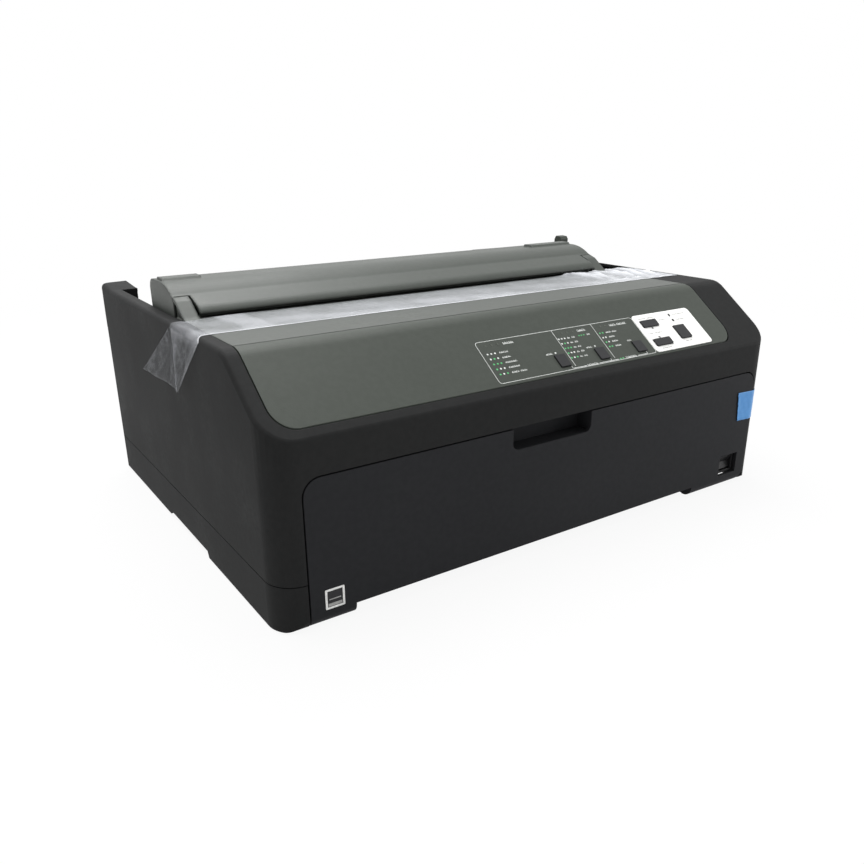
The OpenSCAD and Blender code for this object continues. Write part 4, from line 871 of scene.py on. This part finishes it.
@dataclass
class KeyPanelPrint:
    """The printed fields, rows of dots and marks round the keys, in millimetres on the slope."""

    finishes: Finishes
    left: float = -54.9
    right: float = 92.0
    low: float = 2.5
    high: float = 38.4
    dividers: Pair = (12.4, 50.2)
    dot_radius: float = 0.7
    dot_pitch: float = 3.05
    row_pitch: float = 4.35
    thin: float = 0.32

    def white_lines(self) -> None:
        """Frame of the three fields, dividers and the two brackets under them."""
        ink = Print()
        ink.frame((self.left, self.right), (self.low, self.high), 2.4, self.thin)
        for x in self.dividers:
            ink.line([(x, self.low + 2.6), (x, self.high - 0.3)], self.thin)
        ink.line([(9.0, 5.4), (9.0, 3.4), (21.6, 3.4)])
        ink.line([(34.0, 3.4), (46.0, 3.4), (46.0, 5.0)])
        ink.line([(46.0, 3.4), (52.6, 3.4)])
        ink.line([(73.0, 3.4), (82.6, 3.4), (82.6, 5.4)])
        self.words_into(ink)
        ink.finish("panel_print_white", self.finishes.get(Finish.WHITE_INK), "pale")

    def words_into(self, ink: Print) -> None:
        """Adds the headings, the words beside the dots and those beside the keys.

        Args:
            ink: The print that they go into.
        """
        for x, lengths in ((-33.0, (9.0,)), (34.5, (7.6,)), (66.8, (6.2, 10.4))):
            ink.words(x, 34.3, lengths, 2.0)
        for row, length in enumerate((7.8, 7.4, 10.0, 9.8, 6.2)):
            up = 27.3 - row * self.row_pitch
            ink.words(-40.6, up, (length, 6.0) if row == 4 else (length,))
        for row in range(5):
            ink.words(21.8, 29.6 - row * self.row_pitch, (3.0, 3.6))
        for row, lengths in enumerate(((5.2, 4.4), (5.6,), (5.6,), (6.0,))):
            ink.words(58.8, 28.6 - row * self.row_pitch, lengths)
        for x, up, dot_x in ((-5.4, 18.6, 3.2), (32.0, 18.4, 40.4)):
            ink.words(x, up, (6.0,))
            ink.disc(dot_x, up, self.dot_radius)
        ink.words(72.6, 18.0, (4.6,))
        for x, length in ((22.8, 10.0), (60.4, 11.0)):
            ink.words(x, 3.6, (length,), 1.8)

    def dots(self) -> None:
        """Rows of three dots in front of each word: white where the lamp is dark, green where it is lit."""
        white, green = Print(), Print()
        lit = ("WWW", "WGW", "GGG", "GWW", "GWG")
        for row, pattern in enumerate(lit):
            for column, mark in enumerate(pattern):
                ink = white if mark == "W" else green
                ink.disc(-50.2 + column * self.dot_pitch, 27.3 - row * self.row_pitch, self.dot_radius)
                ink.disc(13.9 + column * 2.7, 29.6 - row * self.row_pitch, self.dot_radius)
        for column in range(3):
            green.disc(33.2 + column * 2.3, 29.8, 0.55)
        white.words(40.6, 29.8, (3.6,))
        for row, pattern in enumerate(("GG", "WW", "GW", "GG")):
            for column, mark in enumerate(pattern):
                ink = white if mark == "W" else green
                ink.disc(53.0 + column * 2.7, 28.6 - row * self.row_pitch, self.dot_radius)
        for column in range(2):
            green.disc(54.8 + column * 2.6, 3.6, self.dot_radius)
        white.finish("panel_dots_white", self.finishes.get(Finish.WHITE_INK), "pale")
        green.finish("panel_dots_green", self.finishes.get(Finish.GREEN_INK), "lamp")

    def plate_marks(self) -> None:
        """Arrows, rows of grey ticks and the two oval lamp rims on the pale plate."""
        grey, black = Print(base=0.6), Print(base=0.6)
        for up, tip in ((24.0, -1.0), (16.0, 1.0)):
            black.filled(np.array([[103.5, up], [106.1, up], [104.8, up - tip * 2.2]])[::int(-tip)])
        for x, up, lengths in ((97.0, 34.8, (8.4, 8.0)), (96.0, 19.9, (6.0, 8.8)), (99.6, 4.9, (10.0,)),
                               (127.6, 7.4, (8.0,)), (117.0, 31.0, (7.0,)), (134.4, 34.2, (13.8,)),
                               (134.6, 28.8, (9.4,))):
            grey.words(x, up, lengths, 1.1)
        for x, up in ((131.0, 34.0), (131.2, 28.6)):
            black.disc(x, up, 0.95, 1.7)
        grey.finish("plate_print_grey", self.finishes.get(Finish.GREY_INK), "key")
        black.finish("plate_print_black", self.finishes.get(Finish.BLACK), "key")

    def build(self) -> None:
        """Prints everything."""
        self.white_lines()
        self.dots()
        self.plate_marks()


# ---- film, tape and label


@dataclass(frozen=True)
class Crease:
    """One raised fold of the film: a ridge along a line, in millimetres in plan."""

    start: Pair
    end: Pair
    width: float
    height: float

    def rise(self, x: Array, depth: Array) -> Array:
        """Height of the ridge over the film.

        Formula: distance to the line between the two ends, turned into a bell of the crease's width,
        which is lower towards the ends.

        Args:
            x: Place across.
            depth: Depth from the front face.

        Returns:
            The height at each place.
        """
        sx, sy = self.end[0] - self.start[0], self.end[1] - self.start[1]
        length = sx * sx + sy * sy
        share = unit(((x - self.start[0]) * sx + (depth - self.start[1]) * sy) / length)
        away = np.hypot(x - self.start[0] - share * sx, depth - self.start[1] - share * sy)
        taper = np.sin(math.pi * (0.12 + 0.76 * share))
        return self.height * taper * bell(away, self.width)


@dataclass
class PackingFilm:
    """Clear film laid over the lid: it hangs as a folded corner on the left and bunches up on the right."""

    finishes: Finishes
    columns: int = 320
    rows: int = 72
    drop_rows: int = 36
    thickness: float = 0.1
    clearance: float = 0.12
    left_end: float = -219.6
    right_end: float = 212.0
    fold_share: float = 0.6
    front_edge: tuple[tuple[float, ...], ...] = (
        (-219.6, -217.5, -214.5, -205.0, -141.0, 60.0, 209.0, 212.0),
        (92.6, 95.6, 99.0, 100.4, 100.6, 99.6, 95.6, 95.4),
    )
    rear_edge: tuple[tuple[float, ...], ...] = (
        (-219.6, -209.0, -196.0, -100.0, 115.0, 140.0, 165.0, 200.0, 212.0),
        (149.4, 151.0, 151.4, 151.2, 151.6, 157.4, 158.6, 154.6, 151.0),
    )
    creases: tuple[Crease, ...] = (
        Crease((125.0, 147.0), (140.0, 156.5), 3.0, 1.6),
        Crease((141.0, 156.0), (139.0, 112.0), 2.2, 2.6),
        Crease((148.0, 157.0), (150.0, 108.0), 2.6, 1.9),
        Crease((160.0, 151.0), (152.0, 122.0), 2.0, 2.2),
        Crease((166.0, 157.0), (176.0, 112.0), 3.0, 1.5),
        Crease((184.0, 155.0), (171.0, 104.0), 2.4, 1.7),
        Crease((200.0, 155.0), (186.0, 106.0), 3.4, 1.8),
        Crease((208.0, 152.0), (199.0, 104.0), 2.6, 1.6),
        Crease((122.0, 104.0), (205.0, 101.5), 2.2, 0.9),
        Crease((-211.5, 124.0), (-201.0, 147.0), 1.6, 1.3),
        Crease((-207.0, 139.0), (-211.0, 143.0), 1.4, 0.9),
        Crease((-184.0, 140.0), (-186.5, 107.0), 3.2, 0.5),
        Crease((-166.0, 150.0), (-170.5, 106.0), 3.2, 0.5),
        Crease((-196.0, 150.5), (-150.0, 152.0), 1.8, 0.8),
        Crease((-214.0, 104.0), (-216.0, 146.0), 2.6, 1.0),
    )

    def wrinkles(self, x: Array, depth: Array) -> Array:
        """Height of the film over the lid.

        Formula: the single creases, a gentle swell everywhere, and at both ends two crossing families of
        sharp ripples, whose lines a slow sine bends.

        Args:
            x: Place across.
            depth: Depth from the front face.

        Returns:
            The height at each place.
        """
        rise = sum(crease.rise(x, depth) for crease in self.creases)
        right = unit((x - 118.0) / 60.0)
        left = unit((-196.0 - x) / 24.0)
        warp = 3.0 * np.sin(depth / 11.0) + 2.0 * np.sin(depth / 4.7 + x / 19.0)
        ripple = np.abs(np.sin((x + warp) / 4.3)) ** 3
        ripple = ripple + 0.6 * np.abs(np.sin((x * 0.4 - depth + warp) / 3.1)) ** 4
        swell = 0.08 * (1.0 + np.sin(x / 23.0 + depth / 9.0)) * (1.0 + np.sin(x / 9.7 - depth / 13.0))
        return rise + ripple * (0.55 * right + 0.3 * left) + swell

    def lid_milk_and_highlight(self, x: Array, depth: Array, share: Array, rise: Array, hem: Array) -> Array:
        """How milky the film is over the lid, with a painted highlight along its front edge.

        Formula: it fades to the rear and to the left, with slow clouds near the front, a painted highlight
        as a bright line along the front edge, a milkier film on the ridges of the bunched right end, and a
        paler slanting band near the left end, where the film lies double.

        Args:
            x: Place across, in millimetres.
            depth: Depth from the front face.
            share: 0 at the front edge and 1 at the rear edge.
            rise: Height of the film over the lid.
            hem: Distance from the front edge.

        Returns:
            0, clear, to 1, milky.
        """
        milk_and_highlight = (0.26 - 0.19 * share + 0.05 * rise) * (1.0 - 0.35 * unit((-150.0 - x) / 30.0))
        milk_and_highlight = milk_and_highlight + 0.16 * np.sin(x / 37.0 + depth / 10.0) ** 2 * (1.0 - share)
        # Painted highlight: a bright line along the front edge of the film.
        milk_and_highlight = milk_and_highlight + 0.9 * bell(hem, 1.1)
        milk_and_highlight = milk_and_highlight + unit((x - 112.0) / 40.0) * (0.12 + 0.4 * unit(rise / 1.8))
        band_middle = -176.5 - 0.12 * (depth - 128.0)
        milk_and_highlight = milk_and_highlight + 0.2 * unit((10.5 - np.abs(x - band_middle)) / 1.6)
        return unit(milk_and_highlight)

    def lid_part(self) -> tuple[Array, Array]:
        """The film over the lid.

        Formula: columns from left to right, close together at both ends, and rows from the front edge to
        the rear edge; near the left end the rows crowd to meet the folded corner's, and the wrinkles die
        away at the edges.

        Returns:
            Points in millimetres and how milky each is, painted highlights included.
        """
        left, calm, bunched, right = self.left_end, -190.0, 118.0, self.right_end
        along = np.concatenate([np.linspace(left, calm, self.columns // 5, endpoint=False),
                                np.linspace(calm, bunched, self.columns // 4, endpoint=False),
                                np.linspace(bunched, right, self.columns // 2)])
        share = np.linspace(0.0, 1.0, self.rows)
        squeezed = np.interp(share, (0.0, self.fold_share, 1.0), (0.0, 0.96, 1.0))
        ease = unit((along - left) / 24.0)
        ease = (ease * ease * (3.0 - 2.0 * ease))[:, None]
        share = squeezed[None, :] * (1.0 - ease) + share[None, :] * ease
        front = np.interp(along, *self.front_edge)[:, None]
        rear = np.interp(along, *self.rear_edge)[:, None]
        depth = front + (rear - front) * share
        across = np.broadcast_to(along[:, None], depth.shape)
        hem = depth - front
        held = np.minimum(np.minimum(hem, 3.0) / 3.0, np.clip((rear - depth) / 3.0, 0.25, 1.0))
        rise = self.wrinkles(across, depth) * (0.3 + 0.7 * held) * np.clip((right - across) / 9.0, 0.12, 1.0)
        x, height = CASE.over_top(across, self.clearance + rise)
        return np.stack([x, depth, height], axis=-1), self.lid_milk_and_highlight(across, depth, share, rise, hem)

    def corner_milk_and_highlight(self, across: Array, fall: Array) -> Array:
        """How milky the hanging corner is, with its painted highlights.

        Formula: streaks and a clearer patch in the middle of the front panel, painted highlights as paler
        bands along the fold and the case's edge, and thin pale lines at the free edges, painted highlights
        too.

        Args:
            across: 0 at the front edge and 1 at the rear edge.
            fall: 0 at the case's edge and 1 at the lower edge.

        Returns:
            0, clear, to 1, milky.
        """
        front = across <= self.fold_share
        # Mask of a clearer patch in the middle of the front panel, where the film shows more of the dark
        # case.
        worn = bell(across - 0.26, 0.13) * bell(fall - 0.42, 0.26)
        streaks = 0.05 * np.sin(31.0 * across + 2.0 * fall) * np.sin(17.0 * across)
        # Painted highlight: a paler band along the fold.
        milk_and_highlight = 0.05 + streaks - 0.09 * worn + 0.09 * bell(across - self.fold_share + 0.07, 0.08)
        # The rear panel stays clear; painted highlight: a paler band on the front panel along the case's
        # edge.
        milk_and_highlight = np.where(front, milk_and_highlight + 0.16 * bell(fall, 0.1), 0.0)
        # Painted highlights: thin pale lines along the free edges.
        lines = 0.1 * bell(across, 0.02) + 0.05 * bell(fall - 1.0, 0.02) + 0.05 * bell(across - 1.0, 0.01)
        return unit(milk_and_highlight + lines)

    def hanging_part(self, top_row: Array) -> tuple[Array, Array]:
        """The folded corner on the left side, from its lower edge up to the lid part's first column.

        Formula: each line runs straight from its place on the lower edge to its place on the case's edge;
        the front panel stands off more and more towards its tip, the rear one lies against the side.

        Args:
            top_row: The lid part's first column of points.

        Returns:
            Points in millimetres and how milky each is, painted highlights included.
        """
        tip, fold, rear = (np.array(point) for point in (
            (-226.0, 123.5, 121.6), (-223.0, 136.0, 121.4), (-220.2, 227.0, 114.4)))
        share = np.linspace(0.0, 1.0, self.rows)[:, None]
        front_part = unit(share / self.fold_share)
        rear_part = unit((share - self.fold_share) / (1.0 - self.fold_share))
        lower = tip + (fold - tip) * front_part + (rear - fold) * rear_part
        down = np.linspace(1.0, 0.0, self.drop_rows + 1)[:-1][:, None, None]
        points = top_row[None] * (1.0 - down) + lower[None] * down
        panel = np.where(share <= self.fold_share,
                         np.sin(math.pi * front_part), -0.35 * np.sin(math.pi * rear_part))
        across, fall = np.broadcast_arrays(share[None, :, 0], down[:, :, 0])
        belly = 1.4 * panel[None, :, 0] * np.sin(math.pi * fall * 0.85)
        ripple = 0.35 * np.sin(9.0 * across * math.pi + 3.0 * fall) * fall
        points[..., 0] = np.minimum(points[..., 0] - belly - ripple - 0.25, -CASE.half_width - 0.3)
        return points, self.corner_milk_and_highlight(across, fall)

    def build(self) -> None:
        lid, lid_milk_and_highlight = self.lid_part()
        corner, corner_milk_and_highlight = self.hanging_part(lid[0])
        surface = np.concatenate([corner, lid])
        milk_and_highlight = np.concatenate([corner_milk_and_highlight, lid_milk_and_highlight])
        surface = (surface - [0.0, BODY_DEPTH / 2, 0.0]) * MM
        piece = closed_sheet("packing_film", surface, self.thickness * MM)
        # The attribute holds the film's milkiness and its painted highlights.
        layer = piece.data.attributes.new("lift", "FLOAT", "POINT")
        layer.data.foreach_set("value", np.tile(milk_and_highlight.ravel(), 2).astype(np.float32))
        face_outwards(piece)
        finish_piece(piece, "cover", self.finishes.get(Finish.FILM))


@dataclass
class TransportTape:
    """Blue tape from the front cover round the case's right corner."""

    finishes: Finishes
    start: float = 184.6
    length: float = 58.0
    seam: float = 204.0
    left_edge: Pair = (57.2, 81.2)
    slope: float = -0.055
    thickness: float = 0.16
    columns: int = 90
    rows: int = 26

    def build(self) -> None:
        """Makes the strip.

        Formula: the strip runs straight along the front face to the corner, then round the corner's
        quarter circle and on along the side; it stands 0.1 mm off, a little more over the seam, and its
        left end has come loose.
        """
        run = np.linspace(0.0, self.length, self.columns)[:, None]
        share = np.linspace(0.0, 1.0, self.rows)[None, :]
        radius = CASE.corner_radius
        corner = CASE.half_width - radius
        ragged = 0.35 * np.sin(37.0 * share) * np.sin(11.0 * share + 1.0)
        lean = 2.6 * (1.0 - share)
        run = run + (lean + ragged) * (1.0 - run / self.length)
        past = np.maximum(self.start + run - corner, 0.0)
        turn = np.minimum(past / radius, math.pi / 2)
        beyond = np.maximum(past - radius * math.pi / 2, 0.0)
        blister = 0.22 * bell(self.start + run - self.seam, 2.5)
        blister = blister + 0.08 * np.sin(run / 2.3 + 6.0 * share) ** 2
        blister = blister + 0.9 * bell(run, 2.6) * (1.15 - 0.7 * share)
        out = radius + 0.1 + blister
        x = np.minimum(self.start + run, corner) + out * np.sin(turn)
        depth = radius - out * np.cos(turn) + beyond
        low, high = self.left_edge
        height = low + (high - low) * share + self.slope * run
        surface = np.stack(np.broadcast_arrays(x, depth - BODY_DEPTH / 2, height), axis=-1) * MM
        piece = closed_sheet("transport_tape", surface, self.thickness * MM)
        face_outwards(piece)
        finish_piece(piece, "door", self.finishes.get(Finish.TAPE))


@dataclass
class DoorLabel:
    """Small square label on the front cover: pale rim, dark field, plain bands and no words."""

    finishes: Finishes
    x: Pair = (-190.0, -177.1)
    up: Pair = (11.2, 24.5)
    rim: float = 1.35

    def build(self) -> None:
        """Prints the rim, the field and the bands in three layers."""
        pale, dark, grey = (Print(thickness=lift, sink=0.02, surface=CASE.on_front)
                            for lift in (0.16, 0.1, 0.13))
        inner = tuple((low + self.rim, high - self.rim) for low, high in (self.x, self.up))
        pale.ring(rounded_rectangle(self.x, self.up, 0.6), rounded_rectangle(*inner, 0.1))
        dark.bar(*inner)
        grey.bar((inner[0][0] + 0.5, inner[0][1] - 0.5), (inner[1][0] + 0.4, inner[1][0] + 2.3))
        grey.bar((inner[0][0] + 1.2, inner[0][1] - 1.2), (inner[1][0] + 4.6, inner[1][0] + 5.3))
        dark.finish("label_field", self.finishes.get(Finish.LABEL_DARK), "key", "door")
        pale.finish("label_rim", self.finishes.get(Finish.LABEL_PAPER), "pale", "door")
        grey.finish("label_bands", self.finishes.get(Finish.GREY_INK), "pale", "door")


# ---- camera, light and floor


@dataclass(frozen=True)
class Viewpoint:
    """The photograph's camera: place in millimetres, angles in degrees, lens in pixels of the frame."""

    azimuth: float = -34.20
    elevation: float = 20.90
    roll: float = -0.31
    place: tuple[float, float, float] = (-367.12, -549.33, 267.96)
    focal: float = 803.73
    centre: Pair = (437.50, 454.17)
    size: float = 864.0

    def build(self) -> None:
        """Makes the camera and sets it as the scene's."""
        a, e, r = (math.radians(v) for v in (self.azimuth, self.elevation, self.roll))
        back = Vector((math.sin(a) * math.cos(e), -math.cos(a) * math.cos(e), math.sin(e)))
        right = (-back).cross(Vector((0.0, 0.0, 1.0))).normalized()
        up = right.cross(-back)
        turned_right = right * math.cos(r) + up * math.sin(r)
        turned_up = up * math.cos(r) - right * math.sin(r)
        lens = bpy.data.cameras.new("viewpoint")
        lens.sensor_width = 36.0
        lens.lens = self.focal / self.size * lens.sensor_width
        lens.shift_x = (self.size / 2 - self.centre[0]) / self.size
        lens.shift_y = (self.centre[1] - self.size / 2) / self.size
        lens.clip_start = 0.01
        camera = bpy.data.objects.new("viewpoint", lens)
        camera.matrix_world = Matrix((
            (turned_right.x, turned_up.x, back.x, self.place[0] * MM),
            (turned_right.y, turned_up.y, back.y, self.place[1] * MM),
            (turned_right.z, turned_up.z, back.z, self.place[2] * MM),
            (0.0, 0.0, 0.0, 1.0),
        ))
        bpy.context.scene.collection.objects.link(camera)
        bpy.context.scene.camera = camera


@dataclass
class Studio:
    """Pale floor, three soft boxes and a white surround."""

    floor_half: float = 6.0
    floor_white: float = 0.92
    plain_from: float = 0.35
    plain_to: float = 1.1
    world_strength: float = 0.5

    def seen_directly(self, tree: Tree) -> Socket:
        """Finds the camera, mirror and glass rays, which see the plain white surround.

        Args:
            tree: The nodes that it goes into.

        Returns:
            1 for such a ray, else 0.
        """
        path = tree.add("ShaderNodeLightPath").outputs
        either = tree.maths("MAXIMUM", path["Is Camera Ray"], path["Is Glossy Ray"])
        return tree.maths("MAXIMUM", either, path["Is Transmission Ray"])

    def surround(self) -> None:
        """White for what looks at it, softer for what it lights."""
        world = bpy.data.worlds.new("surround")
        bpy.context.scene.world = world
        tree = fresh_tree(world)
        seen = self.seen_directly(tree)
        strength = tree.add("ShaderNodeMapRange", {0: seen, 3: self.world_strength, 4: 1.0}).outputs[0]
        sky = tree.add("ShaderNodeBackground", {"Color": (1.0, 1.0, 1.0, 1.0), "Strength": strength})
        tree.add("ShaderNodeOutputWorld", {"Surface": sky.outputs[0]})

    def floor(self) -> None:
        """A level white floor that keeps a soft shadow near the printer."""
        side = np.linspace(-self.floor_half, self.floor_half, 3)
        x, y = np.meshgrid(side, side, indexing="ij")
        points = np.stack([x, y, np.zeros_like(x)], axis=-1).reshape(-1, 3)
        piece = mesh_from_arrays("floor", points, grid_faces(3, 3)[:, ::-1])
        material = bpy.data.materials.new("floor_white")
        tree = fresh_tree(material)
        place = tree.add("ShaderNodeTexCoord").outputs["Object"]
        away = tree.add("ShaderNodeVectorMath", {0: place}, operation="LENGTH").outputs["Value"]
        paper = tree.add("ShaderNodeBsdfDiffuse", {"Color": (0.7, 0.7, 0.7, 1.0)})
        plain = tree.add("ShaderNodeEmission", {"Color": (1.0, 1.0, 1.0, 1.0), "Strength": 1.0})
        far = tree.ramp(away, self.plain_from, self.plain_to)
        share = tree.add("ShaderNodeMapRange", {0: far, 3: self.floor_white, 4: 1.0}).outputs[0]
        share = tree.times(share, self.seen_directly(tree))
        mixed = tree.add("ShaderNodeMixShader", {0: share, 1: paper.outputs[0], 2: plain.outputs[0]})
        tree.add("ShaderNodeOutputMaterial", {"Surface": mixed.outputs[0]})
        piece.data.materials.append(material)

    def soft_box(self, name: str, place: tuple[float, ...], size: Pair, power: float) -> None:
        """Adds one rectangular lamp aimed at the middle of the printer.

        Args:
            name: Name of the lamp.
            place: Where it hangs, in metres.
            size: Width and height in metres.
            power: Power in watts.
        """
        light = bpy.data.lights.new(name, "AREA")
        light.shape = "RECTANGLE"
        light.size, light.size_y = size
        light.energy = power
        lamp = bpy.data.objects.new(name, light)
        lamp.location = place
        aim = Vector((0.0, 0.0, 0.1)) - Vector(place)
        lamp.rotation_euler = aim.to_track_quat("-Z", "Y").to_euler()
        bpy.context.scene.collection.objects.link(lamp)

    def build(self) -> None:
        """Sets the view transform and makes floor, surround and lamps."""
        bpy.context.scene.view_settings.view_transform = "Standard"
        self.surround()
        self.floor()
        self.soft_box("overhead", (-0.15, 0.35, 1.5), (1.5, 1.1), 34.0)
        self.soft_box("rear", (0.1, 1.0, 1.3), (0.8, 0.8), 5.0)
        self.soft_box("front_right", (1.5, -0.9, 0.45), (0.7, 0.7), 10.0)


# ---- making it all


def main() -> None:
    """Builds camera, finishes and pieces in order."""
    logging.basicConfig(level=logging.INFO, format="%(name)s: %(message)s")
    Viewpoint().build()
    finishes = Finishes()
    Mechanism(finishes).dress()
    KeyPanelPrint(finishes).build()
    PackingFilm(finishes).build()
    TransportTape(finishes).build()
    DoorLabel(finishes).build()
    Studio().build()


if __name__ == "__main__":
    main()
